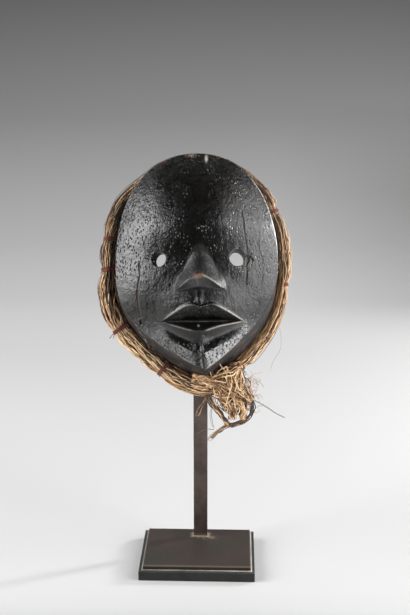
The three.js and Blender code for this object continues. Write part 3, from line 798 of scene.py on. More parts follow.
def wall_rings(edge, arris, normal, back):
    """The side wall, ring by ring from the front edge to the back, with its marks."""
    edge_highlight = arris_polish_and_painted_highlight(edge[:, 0], edge[:, 1], np.ones(len(edge)))
    crack_line = wall_crack_line()
    for row in range(1, WALL_ROWS + 1):
        down = row / WALL_ROWS
        flat = mix(arris, back, down)
        height = edge[:, 2] * (1 - down)
        ring = np.column_stack([flat, height])
        cut = 0.35 * lattice_noise(*ring.T, 7, 21) * math.sin(math.pi * down) ** 0.5
        away = distance_to_line(ring, crack_line)
        opened = bump(away / 1.6)
        inset = cut - 1.7 * opened - 0.7 * smooth((down - 0.93) / 0.07)
        ring[:, :2] += normal * inset[:, None]
        flakes = bump((away - 2.8) / 0.9) * smooth(lattice_noise(*ring.T, 2.5, 22) / 0.4)
        brown = 0.3 * smooth(lattice_noise(*ring.T, 6, 23) / 0.6)
        # The pale flakes beside the crack are real; the pale at the top of the wall is the arris's painted
        # highlight running on over the edge.
        pale = 0.5 * flakes + math.exp(-3 * (row - 1)) * edge_highlight
        yield ring, np.stack([opened, brown, pale, 0 * away + 0.3, 0 * away + 0.8], -1)


def hollow_rings(inner, normal):
    """The eased inner edge of the rim's flat back, and the hollow behind the face, ring by ring."""
    yield np.column_stack([inner + normal * EASED_EDGE, np.zeros(len(inner))])
    yield np.column_stack([inner, np.full(len(inner), EASED_EDGE)])
    for row in range(1, CEILING_ROWS):
        out = math.cos(0.5 * math.pi * row / CEILING_ROWS) ** 0.8
        flat = mix(np.array(MOUTH, float), inner, out)
        height = ceiling_height(flat[:, 0], flat[:, 1], out)
        height = height - 0.5 * np.abs(lattice_noise(flat[:, 0], flat[:, 1], 0, 11, 31))
        yield np.column_stack([flat, np.maximum(height, EASED_EDGE)])


def carved_mask():
    """One closed skin: the carved front, the side wall, the flat back of the rim and the hollow."""
    skin = Skin(*front_skin())
    edge = skin.points[0][skin.loop]
    arris, normal, back, inner = rim_section(np.arctan2(edge[:, 1] - MOUTH[1], edge[:, 0] - MOUTH[0]))
    for ring, marks in wall_rings(edge, arris, normal, back):
        skin.grow(ring, marks, strip_triangles)
    join = coarser_triangles
    for ring in hollow_rings(inner[::COARSER], normal[::COARSER]):
        skin.grow(ring, HOLLOW_MARKS, join)
        join = strip_triangles
    top = ceiling_height(np.array([float(MOUTH[0])]), np.array([float(MOUTH[1])]), 0.0)
    skin.grow(np.array([[*MOUTH, top[0]]]), HOLLOW_MARKS, closing_triangles)
    piece = skin.piece("carved_mask")
    for eye in EYES:
        bore_eye(piece, *eye)
    finish_piece(piece, carved_wood(), "carved_wood", "mask")


def wall_crack_line():
    """The crack that runs on from the left cheek over the side wall."""
    share, height = np.array(WALL_CRACK, float).T
    angle = np.arctan2(height - MOUTH[1], np.full(len(height), WALL_CRACK_U) - MOUTH[0])
    arris, normal, back, inner = rim_section(angle)
    return np.column_stack([mix(arris, back, share[:, None]), edge_height(arris[:, 1]) * (1 - share)])


def bore_eye(piece, u, v, tilt_across, tilt_down, wider):
    """Cuts a hand-bored hole, not quite round, through the wall on a slant."""
    turn = 2 * math.pi * np.arange(BORE_SIDES) / BORE_SIDES
    radius = (EYE_RADIUS + wider) * (1 + 0.018 * np.sin(2 * turn + u) + 0.012 * np.sin(5 * turn + v))
    ring = np.stack([radius * np.cos(turn), radius * np.sin(turn)], -1)
    rings = [
        np.column_stack([ring * (1 + EYE_TAPER * end), np.full(BORE_SIDES, end)])
        for end in (-BORE_REACH, BORE_REACH)
    ]
    across_tilt = Matrix.Rotation(math.radians(tilt_across), 3, "Y")
    tilt = across_tilt @ Matrix.Rotation(math.radians(tilt_down), 3, "X")
    centre = np.array([u, v, face_height(np.array([float(u)]), np.array([float(v)]))[0]])
    points = np.concatenate(rings) @ np.array(tilt).T + centre
    mesh = bpy.data.meshes.new("eye_bore")
    near = list(range(BORE_SIDES))
    onward = near[1:] + near[:1]
    side = [(k, j, BORE_SIDES + j, BORE_SIDES + k) for k, j in zip(near, onward)]
    ends = [tuple(reversed(near)), tuple(BORE_SIDES + k for k in near)]
    mesh.from_pydata(to_world(points).tolist(), [], side + ends)
    bore = bpy.data.objects.new("eye_bore", mesh)
    bpy.context.scene.collection.objects.link(bore)
    cut = piece.modifiers.new("eye", "BOOLEAN")
    cut.object = bore
    cut.operation = "DIFFERENCE"
    cut.solver = "EXACT"
    bpy.context.view_layer.objects.active = piece
    bpy.ops.object.modifier_apply(modifier=cut.name)
    bpy.data.objects.remove(bore)


# Raffia, in the mask's own frame

OUT_OF_FACE = np.array([0, 0, 1.0])


def smooth_curve(points, place, closed=False):
    """Places on a smooth curve through the given points, counted in points."""
    count = len(points)
    if closed:
        cell = np.floor(place).astype(int)
        corners = [points[(cell + k) % count] for k in (-1, 0, 1, 2)]
    else:
        ends = 2 * points[0] - points[1], 2 * points[-1] - points[-2]
        padded = np.concatenate([ends[:1], points, ends[1:]])
        cell = np.clip(np.floor(place).astype(int), 0, count - 2)
        corners = [padded[cell + k] for k in range(4)]
    share = (place - cell).reshape(place.shape + (1,) * (points.ndim - 1))
    a, b, c, d = corners
    spans = ((a, b), (b, c), (c, d))
    before, here, after = (np.sqrt(np.linalg.norm(q - p, axis=-1))[..., None] for p, q in spans)
    leave = ((b - a) / before - (c - a) / (before + here) + (c - b) / here) * here
    arrive = ((c - b) / here - (d - b) / (here + after) + (d - c) / after) * here
    bend = 3 * (c - b) - 2 * leave - arrive
    twist = 2 * (b - c) + leave + arrive
    return b + share * (leave + share * (bend + share * twist))


def unit(vectors):
    return vectors / np.linalg.norm(vectors, axis=-1, keepdims=True)


def across(vectors, ahead):
    """Unit vectors at right angles to the way ahead."""
    return unit(vectors - (vectors * ahead).sum(-1, keepdims=True) * ahead)


class Bundle:
    """The run of the bundle, by the length along it from the chin."""

    STEPS = 1300

    def __init__(self):
        turn, clear, depth, radius = np.array(BUNDLE_STATIONS, float).T
        reach = radius + BUNDLE_STANDOFF
        level = np.where(np.isnan(depth), -reach, depth)
        out = clear + np.where(level < 0, np.sqrt(np.maximum(0, reach**2 - level**2)), reach)
        arris, normal, back, inner = rim_section(CHIN_ANGLE + np.radians(turn))
        points = np.column_stack([back + normal * out[:, None], level])
        place = np.arange(self.STEPS) * len(turn) / self.STEPS
        cell = place.astype(int)
        following = (cell + 1) % len(turn)
        share = place - cell
        centre = smooth_curve(points, place, closed=True)
        ahead = unit(np.roll(centre, -1, axis=0) - np.roll(centre, 1, axis=0))
        outward = across(np.column_stack([centre[:, 0], centre[:, 1] + 10, 0 * share]), ahead)
        step = np.linalg.norm(np.roll(centre, -1, axis=0) - centre, axis=-1)
        self.length = np.concatenate([[0], np.cumsum(step)[:-1]])
        self.total = step.sum()
        turned = np.append(turn, 360)
        self.turns = mix(turned[cell], turned[cell + 1], share)
        self.bindings = np.interp(BINDING_TURNS, self.turns, self.length)
        held = self.hold(self.length)
        full = mix(radius[cell], radius[following], smooth(share))
        uneven = 0.5 * lattice_noise(self.length, 0, 0, 13, 42) * (1 - held)
        apart = np.hypot(out, level)
        rimward = np.arctan2(level, -out) % (2 * math.pi)
        self.table = np.column_stack([
            centre, outward, np.cross(ahead, outward), full - PINCH * held + uneven,
            mix(apart[cell], apart[following], share), mix(rimward[cell], rimward[following], share),
        ])

    def hold(self, length):
        """How tightly the nearest thread holds the fibres: 1 under it, 0 well away from it."""
        apart = np.abs((length[..., None] - self.bindings + self.total / 2) % self.total - self.total / 2)
        return smooth(1 - (apart.min(-1) - BINDING_LENGTH / 2) / PINCH_RUN)

    def place(self, length, turn, depth, proud=0.0):
        """Points at a turn round the bundle and a share of its radius, filled out towards the rim."""
        columns = [np.interp(length, self.length, column, period=self.total) for column in self.table.T]
        stacked = np.stack(columns, -1)
        centre, outward, side = stacked[..., 0:3], stacked[..., 3:6], stacked[..., 6:9]
        radius, apart, rimward = np.moveaxis(stacked[..., 9:], -1, 0)
        filled = np.maximum(0, apart - radius - 0.2) * np.maximum(0, np.cos(turn - rimward)) ** 2
        reach = depth * radius + filled + proud
        radial = outward * np.cos(turn)[..., None] + side * np.sin(turn)[..., None]
        return centre + radial * reach[..., None], radial


def tubes(centres, up, wide, thick, sides):
    """Closed tubes along rows of points: a point and triangle list, flat or round across."""
    rows, rings = centres.shape[:2]
    ahead = unit(np.gradient(centres, axis=1))
    up = across(up, ahead)
    side = np.cross(ahead, up)
    turn = 2 * math.pi * np.arange(sides) / sides
    skin = centres[:, :, None] + up[:, :, None] * (thick[..., None] * np.cos(turn))[..., None]
    skin = skin + side[:, :, None] * (wide[..., None] * np.sin(turn))[..., None]
    points = np.concatenate([skin.reshape(rows, -1, 3), centres[:, :1], centres[:, -1:]], axis=1)
    here = np.arange(rings * sides).reshape(rings, sides)
    onward = np.roll(here, -1, axis=1)
    start = np.full(sides, rings * sides)
    faces = np.concatenate([
        np.stack([here[:-1], onward[:-1], onward[1:]], -1).reshape(-1, 3),
        np.stack([here[:-1], onward[1:], here[1:]], -1).reshape(-1, 3),
        np.stack([start, onward[0], here[0]], -1),
        np.stack([start + 1, here[-1], onward[-1]], -1),
    ])
    offset = points.shape[1] * np.arange(rows)[:, None, None]
    return points.reshape(-1, 3), (faces + offset).reshape(-1, 3)


def tapered(rings, start, end):
    """Thickness along a strand, as a share, drawn out at its ends."""
    share = np.linspace(0, 1, rings)
    return clamp01(start + share / 0.06) * clamp01(end + (1 - share) / 0.06)


def waves(count, share, turns, size):
    """Smooth random sway along strands."""
    phase = RANDOM.uniform(0, 2 * math.pi, (count, 3))
    speed = RANDOM.uniform(0.6, 1.4, (count, 3)) * turns * np.array([1, 2, 3.7])
    sway = np.sin(2 * math.pi * speed[..., None] * share + phase[..., None])
    return size * (sway * np.array([1, 0.5, 0.22])[:, None]).sum(1)


def raffia_piece(name, points, faces, tone):
    piece = mesh_piece(name, to_world(points), faces, tone=tone)
    finish_piece(piece, FIBRE, "raffia", "raffia_bundle")


def strand_piece(name, centres, up, wide, flatness, sides, tone):
    """A piece of many strands, each with its tone at every ring and at both ends."""
    points, faces = tubes(centres, up, wide, flatness * wide, sides)
    tone = np.concatenate([np.repeat(tone, sides, axis=1), tone[:, :1], tone[:, -1:]], axis=1)
    raffia_piece(name, points, faces, tone)


# How pale the fibres are round the rim, by turn from the chin
FIBRE_TONES = [
    (0, 0.5), (26, 0.58), (104, 0.62), (141, 0.5), (180, 0.3), (214, 0.36), (244, 0.42), (270, 0.52),
    (280, 0.8), (326, 0.76), (344, 0.6), (360, 0.62),
]

# The fibres along the bundle: how many, their least and most length, the share that lie in no lock,
# how much they twist, the share that stray, their least and most half width and how flat they are
FIBRE_RINGS = 30
FIBRE_SIDES = 5
LOCKS = 17
FIBRES = {
    "raffia_fibres": (560, (70, 210), 0.22, 0.4, 0.1, (0.28, 0.66), 0.5),
    "raffia_hairs": (260, (42, 126), 0.7, 0.8, 0.35, (0.12, 0.22), 0.8),
}


def bundle_fibres(bundle, name, count, lengths, loose, twisted, stray, widths, flatness):
    """Flat fibres that run along the bundle, gathered in locks with dark gaps between them."""
    share = np.linspace(0, 1, FIBRE_RINGS)[None, :]
    start = RANDOM.uniform(0, bundle.total, count)[:, None]
    span = RANDOM.uniform(*lengths, count)[:, None]
    length = start + span * share
    number = RANDOM.integers(0, LOCKS, count)
    lock = number * 2 * math.pi / LOCKS + RANDOM.normal(0, 0.09, count)
    in_no_lock = RANDOM.random(count) < loose
    turn = np.where(in_no_lock, RANDOM.uniform(0, 2 * math.pi, count), lock)[:, None]
    twist = RANDOM.normal(0.3, twisted, count)[:, None] * span / 100
    free = 1 - bundle.hold(length % bundle.total)
    turn = turn + twist * (share - 0.5) + waves(count, share, 4, 0.11) * (0.25 + 0.75 * free)
    depth = RANDOM.uniform(0.78, 1.02, count)[:, None] + waves(count, share, 3, 0.04) * free
    astray = (RANDOM.random(count) < stray)[:, None]
    proud = astray * RANDOM.uniform(0.4, 3.2, count)[:, None] * free * np.sin(math.pi * share) ** 0.7
    centres, radial = bundle.place(length, turn, depth, proud)
    wide = RANDOM.uniform(*widths, count)[:, None] * tapered(FIBRE_RINGS, 0.15, 0.15)
    at_turn = np.interp(length % bundle.total, bundle.length, bundle.turns)
    lock_tone = RANDOM.normal(0.04, 0.14, LOCKS)[number] + RANDOM.normal(0, 0.24, count)
    tone = along(FIBRE_TONES, at_turn) + lock_tone[:, None]
    tone = np.where(RANDOM.random(count)[:, None] < 0.2, 0.08, tone)
    # Painted shade: fibres deeper in the bundle, and those turned towards the rim, are darker.
    tone = tone - 0.35 * (1 - smooth((depth - 0.8) / 0.14)) - 0.3 * np.maximum(0, -np.cos(turn)) ** 3
    strand_piece(name, centres, radial, wide, flatness, FIBRE_SIDES, tone)


def bundle_core(bundle):
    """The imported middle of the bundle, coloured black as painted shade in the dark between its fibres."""
    rings, sides = 320, 14
    length = np.linspace(0, bundle.total, rings, endpoint=False)[:, None]
    turn = (2 * math.pi * np.arange(sides) / sides)[None, :]
    ribbed = 0.76 + 0.03 * lattice_noise(length, turn * 4, 0, 3, 41)
    points, radial = bundle.place(length + 0 * turn, turn + 0 * length, ribbed)
    here = np.arange(rings * sides).reshape(rings, sides)
    beside = np.roll(here, -1, axis=1)
    ahead = np.roll(here, -1, axis=0)
    corner = np.roll(ahead, -1, axis=1)
    faces = np.concatenate([np.stack([here, beside, corner], -1), np.stack([here, corner, ahead], -1)])
    raffia_piece("raffia_core", points.reshape(-1, 3), faces.reshape(-1, 3), 0 * ribbed)


# The strands between the bundle and the rim lie in two rows, from one turn to another, are dark
# as painted shade in that crevice, and turn paler where the bundle does
INNER_ROWS = 2
INNER_IN_ROW = 7
INNER_RINGS = 220
INNER_TURNS = (208, 474)
PALER_FROM = 372


def inner_strands():
    """Strands pressed between the bundle and the back edge of the rim, dark as painted shade there."""
    count = INNER_ROWS * INNER_IN_ROW
    turn = np.linspace(*INNER_TURNS, INNER_RINGS)
    arris, normal, back, inner = rim_section(CHIN_ANGLE + np.radians(turn))
    share = np.linspace(0, 1, INNER_RINGS)
    row, number = np.divmod(np.arange(count), INNER_IN_ROW)
    out = (0.85 * number - 1 + 2.4 * row)[:, None] + waves(count, share, 9, 0.2)
    level = (0.45 * number - 3.4 + 4.9 * row)[:, None] + waves(count, share, 9, 0.2)
    centres = np.concatenate([back + normal * out[..., None], level[..., None]], -1)
    wide = RANDOM.uniform(0.75, 1.0, count)[:, None] * tapered(INNER_RINGS, 0.2, 0.2)
    pale_side = smooth((turn - PALER_FROM) / 24)
    # Dark tones: painted shade in the crevice by the rim.
    tone = 0.1 + 0.12 * pale_side + (0.25 + 0.4 * pale_side) * RANDOM.random(count)[:, None]
    strand_piece("raffia_inner", centres, np.broadcast_to(OUT_OF_FACE, centres.shape), wide, 1, 6, tone)


# The frayed ends below the chin: how many strands follow each line of (u, v) in front of the bar,
# how far they spread, how thick and how pale they are, and how far in front they hang
TASSEL_LINES = {
    "from_left": (46, 5.0, 0.62, 0.66, 1, [(-8, -119), (6, -122), (21, -127), (38, -135), (55, -147)]),
    "lower_edge": (24, 2.6, 0.7, 0.34, 0, [(-4, -123), (5, -134), (13, -148), (22, -161), (30, -173)]),
    "tip": (15, 1.6, 0.5, 0.4, 0, [(38, -172), (27, -174), (18, -180), (10, -187)]),
    "tip_wisps": (6, 2.2, 0.2, 0.5, 0, [(22, -176), (13, -182), (6, -189)]),
    "from_right": (40, 4.2, 0.6, 0.66, 2, [(45, -106), (36, -111), (25, -115), (14, -123), (8, -131)]),
    "right_fall": (34, 4.5, 0.5, 0.6, 1, [(43, -108), (41, -118), (43, -130), (49, -140), (55, -147)]),
    "right_edge": (14, 2.2, 0.55, 0.42, 0, [(55, -145), (55, -154), (51, -164), (42, -169), (31, -174)]),
    "pale_bar": (16, 1.5, 0.8, 0.9, 6, [(-4, -120), (5, -119), (15, -123), (26, -125)]),
    "second_bar": (9, 1.2, 0.7, 0.78, 5, [(-3, -124), (7, -126), (17, -130)]),
    "mid_sweep": (24, 4.5, 0.55, 0.62, 1, [(5, -126), (16, -134), (25, -144), (33, -155), (35, -167)]),
    "far_sweep": (26, 4.5, 0.55, 0.66, 2, [(14, -127), (28, -136), (39, -145), (45, -155), (44, -167)]),
    "dark_strand": (3, 0.7, 0.9, 0.16, 3, [(50, -147), (49, -155), (47, -163)]),
    "dark_twin": (3, 0.7, 0.9, 0.18, 3, [(54, -148), (54, -155), (53, -162)]),
    "loop_on_bar": (4, 0.6, 0.7, 0.4, 4,
                    [(10, -136), (5, -144), (-3, -153), (-5, -162), (-2, -160), (3, -150), (11, -138)]),
    "chin_loop": (3, 0.9, 0.35, 0.75, 9, [(13, -120), (12, -111), (21, -104), (24, -108), (28, -114)]),
    "chin_curl": (3, 0.9, 0.3, 0.65, 9, [(15, -123), (14, -114), (10, -110), (8, -114), (14, -125)]),
    "long_stray": (2, 0.5, 0.36, 0.42, 2, [(50, -144), (62, -148), (70, -153), (80, -160), (91, -166)]),
    "stray_up": (3, 1.5, 0.14, 0.5, 1, [(48, -128), (56, -125), (63, -126), (68, -133)]),
    "stray_down": (2, 0.6, 0.28, 0.2, 1, [(14, -143), (13, -149), (11, -159), (12, -169), (14, -176)]),
    "stray_on_bar": (2, 0.4, 0.34, 0.72, 3, [(14, -177), (6, -176), (-1, -179), (-6, -182)]),
    "lone_hair": (1, 0.0, 0.2, 0.3, 0, [(80, -44), (83, -58), (87, -77), (86, -92), (78, -105), (75, -116)]),
}
TANGLED = 240
HAIRS = 120


def plumb_depth(v):
    """Depth of what hangs plumb from the leaning mask."""
    return TASSEL_DEPTH + (v - TASSEL_TOP) * math.tan(MASK_LEAN)


def flat_sides(count):
    """A random way for each strand's flat side to face, more or less out of the face."""
    way = unit(RANDOM.normal(0, 0.5, (count, 1, 3)) + OUT_OF_FACE)
    return np.broadcast_to(way, (count, STRAND_RINGS, 3))


def tassel_strands(count, spread, thick, pale, in_front, line):
    """Strands that follow one line, each with its own sway."""
    share = np.linspace(0, 1, STRAND_RINGS)
    middle = smooth_curve(np.array(line, float), share * (len(line) - 1))
    middle = np.column_stack([middle, plumb_depth(middle[:, 1]) + in_front])
    run = np.linalg.norm(np.diff(middle, axis=0), axis=-1).sum()
    beside = np.column_stack([-np.gradient(middle[:, 1]), np.gradient(middle[:, 0])])
    beside = unit(np.append(beside, np.zeros((STRAND_RINGS, 1)), axis=1))
    few = min(1, count / 8)
    offset = RANDOM.normal(0, 0.8, (2, count, 2))
    width = spread * (0.55 + 0.45 * np.sin(math.pi * share))
    places = mix(offset[0][:, None], offset[1][:, None], share[:, None]) * width[:, None]
    places = places + np.stack([waves(count, share, run / 22, 0.22 * spread) for _ in range(2)], -1)
    centres = middle + beside * places[..., :1]
    centres = centres + OUT_OF_FACE * places[..., 1:] * (1.6 * few + 0.4)
    wide = thick * RANDOM.uniform(0.55, 1.15, count)[:, None] * tapered(STRAND_RINGS, 0.3, 0.1)
    up = flat_sides(count)
    # Strands further out of the face are paler: painted shade on those behind.
    tone = pale - 0.2 + RANDOM.normal(0, 0.24, count)[:, None] + 0.05 * places[..., 1]
    return centres, up, wide, tone


def curly_hairs(count):
    """Fine hairs that curl out of the frayed ends."""
    share = np.linspace(0, 1, STRAND_RINGS)
    root = np.column_stack([RANDOM.uniform(34, 57, count), RANDOM.uniform(-158, -118, count)])
    heading = RANDOM.normal(-0.35, 0.9, count)
    bend = RANDOM.normal(0, 3.2, count)
    angle = heading[:, None] + bend[:, None] * share + waves(count, share, 1.5, 0.5)
    step = RANDOM.uniform(7, 18, count)[:, None] / STRAND_RINGS
    u = root[:, :1] + np.cumsum(np.cos(angle), axis=1) * step
    v = root[:, 1:] + np.cumsum(np.sin(angle), axis=1) * step
    w = plumb_depth(v) + RANDOM.normal(0, 4, count)[:, None] + waves(count, share, 1, 1.6)
    wide = RANDOM.uniform(0.1, 0.2, count)[:, None] * tapered(STRAND_RINGS, 0.6, 0.3)
    up = np.broadcast_to(OUT_OF_FACE, (count, STRAND_RINGS, 3))
    tone = RANDOM.normal(0.42, 0.22, count)[:, None] + 0 * share
    return np.stack([u, v, w], -1), up, wide, tone


def tangle(count):
    """Strands that cross at all angles through the body of the tassel."""
    share = np.linspace(0, 1, STRAND_RINGS)
    spot = RANDOM.random(count)[:, None]
    start = mix(np.array([0, -124.0]), np.array([42, -110.0]), spot) + RANDOM.normal(0, 3, (count, 2))
    around = RANDOM.uniform(0, 2 * math.pi, count)
    out = np.sqrt(RANDOM.random(count))[:, None]
    end = np.array([40, -146.0]) + out * np.column_stack([17 * np.cos(around), 20 * np.sin(around)])
    first = mix(start, end, 0.33) + RANDOM.normal(0, 4, (count, 2))
    second = mix(start, end, 0.68) + RANDOM.normal(0, 5, (count, 2))
    corners = np.stack([start, first, second, end])
    flat = np.moveaxis(smooth_curve(corners, share * 3), 0, 1)
    plumb = plumb_depth(flat[..., 1])
    depth = plumb + RANDOM.normal(0, 4, count)[:, None] + waves(count, share, 1, 1.5)
    wide = RANDOM.uniform(0.2, 0.55, count)[:, None] * tapered(STRAND_RINGS, 0.3, 0.1)
    up = flat_sides(count)
    # Strands further out of the face are paler: painted shade on those behind.
    tone = RANDOM.normal(0.26, 0.22, count)[:, None] + 0.05 * (depth - plumb)
    return np.concatenate([flat, depth[..., None]], -1), up, wide, tone


def raffia_tassel():
    made = [tassel_strands(*facts) for facts in TASSEL_LINES.values()]
    made.append(tangle(TANGLED))
    made.append(curly_hairs(HAIRS))
    centres, up, wide, tone = (np.concatenate(parts) for parts in zip(*made))
    strand_piece("raffia_tassel", centres, up, wide, 0.62, 5, tone)


# Thread


def thread_binding(bundle, number):
    """Thread wound round the bundle, with a turn that crosses the others and two knotted ends."""
    share = np.linspace(0, 1, THREAD_RINGS)
    even = np.ones(THREAD_RINGS)
    middle = bundle.bindings[number]
    lean = RANDOM.uniform(-1.1, 1.1)
    phase = RANDOM.uniform(0, 2 * math.pi)
    turn = phase + 2 * math.pi * THREAD_TURNS * share
    wound = middle + (share - 0.5) * (BINDING_LENGTH - 2 * THREAD_RADIUS) + lean * np.cos(turn)
    proud = THREAD_RADIUS * (0.75 + 0.1 * np.sin(9 * turn))
    wound_points, radial = bundle.place(wound, turn, even, proud)
    cross_turn = phase + 2 + 2 * math.pi * 1.2 * share
    crossing = middle + 1.7 * np.sin(2 * math.pi * share)
    crossed, cross_radial = bundle.place(crossing, cross_turn, even, 2.3 * THREAD_RADIUS * even)
    centres = np.stack([wound_points, crossed])
    wide = np.full(centres.shape[:2], THREAD_RADIUS)
    points, faces = tubes(centres, np.stack([radial, cross_radial]), wide, wide, 7)
    ends = []
    for way in (-1, 1):
        tail = crossed[-1] + cross_radial[-1] * (0.3 + 1.6 * share)[:, None]
        drift = np.array([way * 2.2, -3.4, 0.5]) * RANDOM.uniform(0.7, 1.2, 3)
        ends.append(tail + drift * share[:, None] + 0.5 * np.sin(5 * share)[:, None])
    ends = np.stack(ends)
    tails, tail_faces = tubes(ends, np.broadcast_to(OUT_OF_FACE, ends.shape), 0.8 * wide, 0.8 * wide, 7)
    faces = np.concatenate([faces, tail_faces + len(points)])
    piece = mesh_piece(f"thread_{number + 1}", to_world(np.concatenate([points, tails])), faces)
    finish_piece(piece, THREAD, "red_thread", f"binding_{number + 1}")


# Stand


def dressed_copy(node, name, material, slot, bevel, wear_and_highlight):
    """A finer copy of a plain solid, with eased edges and a value for its wear and painted highlight at each
    place.
    """
    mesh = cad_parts[node].data.copy()
    mesh.name = name
    work = bmesh.new()
    work.from_mesh(mesh)
    bmesh.ops.remove_doubles(work, verts=work.verts, dist=1e-6)
    bmesh.ops.dissolve_limit(work, angle_limit=math.radians(1), verts=work.verts, edges=work.edges)
    sharp = [edge for edge in work.edges if edge.calc_face_angle(0) > math.radians(20)]
    bmesh.ops.bevel(
        work, geom=sharp, offset=bevel, segments=2, profile=0.6, affect="EDGES", clamp_overlap=True,
    )
    bmesh.ops.triangulate(work, faces=work.faces)
    for _ in range(SPLITS):
        long_edges = [edge for edge in work.edges if edge.calc_length() > LONGEST_EDGE]
        if not long_edges:
            break
        bmesh.ops.subdivide_edges(work, edges=long_edges, cuts=1)
        bmesh.ops.triangulate(work, faces=[face for face in work.faces if len(face.verts) > 3])
    work.to_mesh(mesh)
    work.free()
    mesh.shade_smooth()
    mesh.set_sharp_from_angle(angle=math.radians(50))
    corners = np.array([vertex.co for vertex in mesh.vertices])
    attribute = mesh.attributes.new("wear_and_highlight", "FLOAT", "POINT")
    attribute.data.foreach_set("value", clamp01(wear_and_highlight(corners / MM)).astype(np.float32))
    piece = bpy.data.objects.new(name, mesh)
    bpy.context.scene.collection.objects.link(piece)
    finish_piece(piece, material, slot, node)


def bar_wear(place):
    """Bright patches at the foot of the bar."""
    x, y, z = place.T
    foot = 0.7 * smooth((PLATE_TOP + 3 - z) / 3)
    return foot * smooth(lattice_noise(x, y, z, 2.2, 51) / 0.5 + 0.6)


def plate_wear(place):
    """A pale halo with rays round the foot of the bar, a rub in front of it and a thin pale edge."""
    x, y, z = place.T
    beside = x - BAR_MIDDLE
    behind = y - (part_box("base_plate")[1].y / MM - BAR_TO_BACK)
    away = np.hypot(np.maximum(0, np.abs(beside) - BAR_HALF_WIDTH), np.maximum(0, np.abs(behind) - 2.5))
    patchy = lattice_noise(x, y, z, 1.8, 52)
    rays = 0.5 + 0.5 * np.cos(9 * np.arctan2(beside, behind) + 2 * patchy)
    halo = bump((away - 0.8) / (1.6 + 1.2 * rays)) * (0.8 + 0.2 * patchy)
    rub = 0.6 * bump((behind + 4.5) / 5, (beside - 8) / 8) * rays
    edge = 0.2 * smooth((z - PLATE_TOP + 1.2) / 0.6) * smooth((-y - 41.6) / 1.2)
    return np.maximum.reduce([halo, rub, edge])


def plinth_wear_and_highlight(place):
    """Thin pale line on the rubbed ledge, with a painted highlight that is brightest at the right, by the
    light.
    """
    x, y, z = place.T
    front = smooth((-y - 43.4) / 0.6)
    sides = smooth((np.abs(x) - 58.4) / 0.6)
    ledge = smooth((z - 10.6) / 0.4) * np.maximum(front, sides)
    patchy = 0.8 + 0.2 * lattice_noise(x, y, z, 5, 53)
    # Painted highlight: brighter towards the right, where the lamp is.
    return ledge * patchy * mix(0.55, 1.0, smooth((x + 20) / 70))


# Floor and lights


def area_light(name, place, target, width, height, radiance):
    """A soft rectangular light of a given brightness, which faces a point."""
    light = bpy.data.lights.new(name, "AREA")
    light.shape = "RECTANGLE"
    light.size = width
    light.size_y = height
    light.energy = radiance * math.pi * width * height
    lamp = bpy.data.objects.new(name, light)
    lamp.location = place
    lamp.rotation_euler = (Vector(target) - Vector(place)).to_track_quat("-Z", "Y").to_euler()
    lamp.visible_camera = False
    bpy.context.scene.collection.objects.link(lamp)


def floor_material():
    """Painted shade: darker up the backdrop and in front of the stand, and a painted shadow at the sweep's
    right.
    """
    shader = Shader("floor", Roughness=0.9, Specular_IOR_Level=0.1)
    place = shader.node("ShaderNodeSeparateXYZ", {"Vector": shader.place}).outputs
    # Painted shade, falling off up the backdrop.
    painted_falloff = (0.0, 0.285), (0.035, 0.235), (0.115, 0.185), (0.36, 0.1), (0.62, 0.056), (1.0, 0.03)
    tone = shader.ramp(place["Z"], *painted_falloff)
    # Painted shade on the floor in front of the stand.
    beyond = shader.math("ADD", place["Y"], 1.0)
    onward = shader.ramp(beyond, (0.3, 0.25), (0.8, 0.6), (0.9, 0.97), (0.94, 1.0))
    tone = shader.math("MULTIPLY", tone, onward)
    # Painted shadow on the right of the sweep, low on the backdrop.
    shadowed_tone = shader.math("MULTIPLY", tone, shader.ramp(place["X"], (0.12, 1.0), (0.5, 0.62)))
    band = shader.ramp(place["Z"], (0.0, 0.0), (0.03, 1.0), (0.2, 1.0), (0.4, 0.0))
    return shader.feed(Base_Color=shader.blend(band, tone, shadowed_tone))


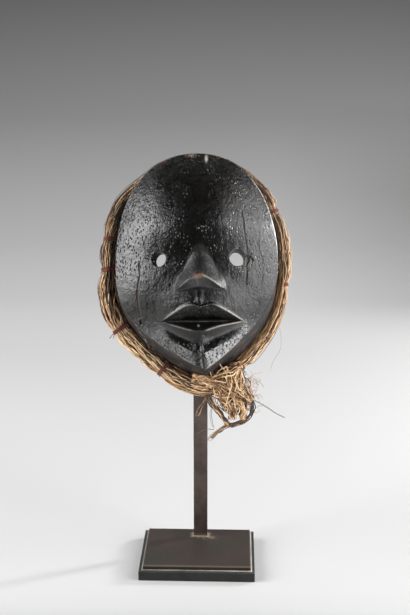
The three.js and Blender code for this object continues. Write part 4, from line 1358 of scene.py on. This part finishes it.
def stage():
    """A pale floor that sweeps up into a backdrop, with painted shade darker towards the top."""
    profile = [(SWEEP_FRONT, 0.0), (SWEEP_START, 0.0)]
    for step in range(1, SWEEP_STEPS + 1):
        turn = math.pi / 2 * step / SWEEP_STEPS
        profile.append((SWEEP_START + SWEEP_RADIUS * math.sin(turn), SWEEP_RADIUS * (1 - math.cos(turn))))
    profile.append((SWEEP_START + SWEEP_RADIUS, SWEEP_TOP))
    points = [(x, y, z) for y, z in profile for x in (-SWEEP_HALF_WIDTH, SWEEP_HALF_WIDTH)]
    faces = [(2 * k, 2 * k + 1, 2 * k + 3, 2 * k + 2) for k in range(len(profile) - 1)]
    mesh = bpy.data.meshes.new("floor")
    mesh.from_pydata(points, [], faces)
    mesh.shade_smooth()
    mesh.materials.append(floor_material())
    floor = bpy.data.objects.new("floor", mesh)
    bpy.context.scene.collection.objects.link(floor)


# The whole scene

FIBRE = dry_fibre(
    "dry_fibre", (0.006, 0.003, 0.0015), (0.12, 0.054, 0.021), (0.4, 0.24, 0.115), (0.66, 0.49, 0.3),
)
THREAD = red_thread()
carved_mask()
BUNDLE = Bundle()
bundle_core(BUNDLE)
for fibre_name, fibre_facts in FIBRES.items():
    bundle_fibres(BUNDLE, fibre_name, *fibre_facts)
inner_strands()
raffia_tassel()
for binding in range(len(BINDING_TURNS)):
    thread_binding(BUNDLE, binding)
dressed_copy("mount_post", "bar", bar_metal(), "brown_metal", 0.0004, bar_wear)
dressed_copy("base_plate", "plate", brown_metal(), "brown_metal", 0.0003, plate_wear)
dressed_copy("base_plinth", "plinth", black_metal(), "black_metal", 0.0005, plinth_wear_and_highlight)
stage()
for light_name, light_facts in LIGHTS.items():
    area_light(light_name, *light_facts)

scene = bpy.context.scene
scene.view_settings.view_transform = "Standard"
camera = bpy.data.objects.new("camera", bpy.data.cameras.new("camera"))
camera.data.sensor_width = SENSOR
camera.data.lens = SENSOR * FOCAL_PIXELS / IMAGE_HEIGHT
camera.location = CAMERA_PLACE
camera.rotation_euler = (math.radians(90 - CAMERA_DOWN), 0, math.radians(CAMERA_TURN))
scene.collection.objects.link(camera)
scene.camera = camera
world = bpy.data.worlds.new("world")
world.use_nodes = True
world.node_tree.nodes["Background"].inputs["Color"].default_value = (1, 1, 1, 1)
world.node_tree.nodes["Background"].inputs["Strength"].default_value = WORLD_STRENGTH
scene.world = world
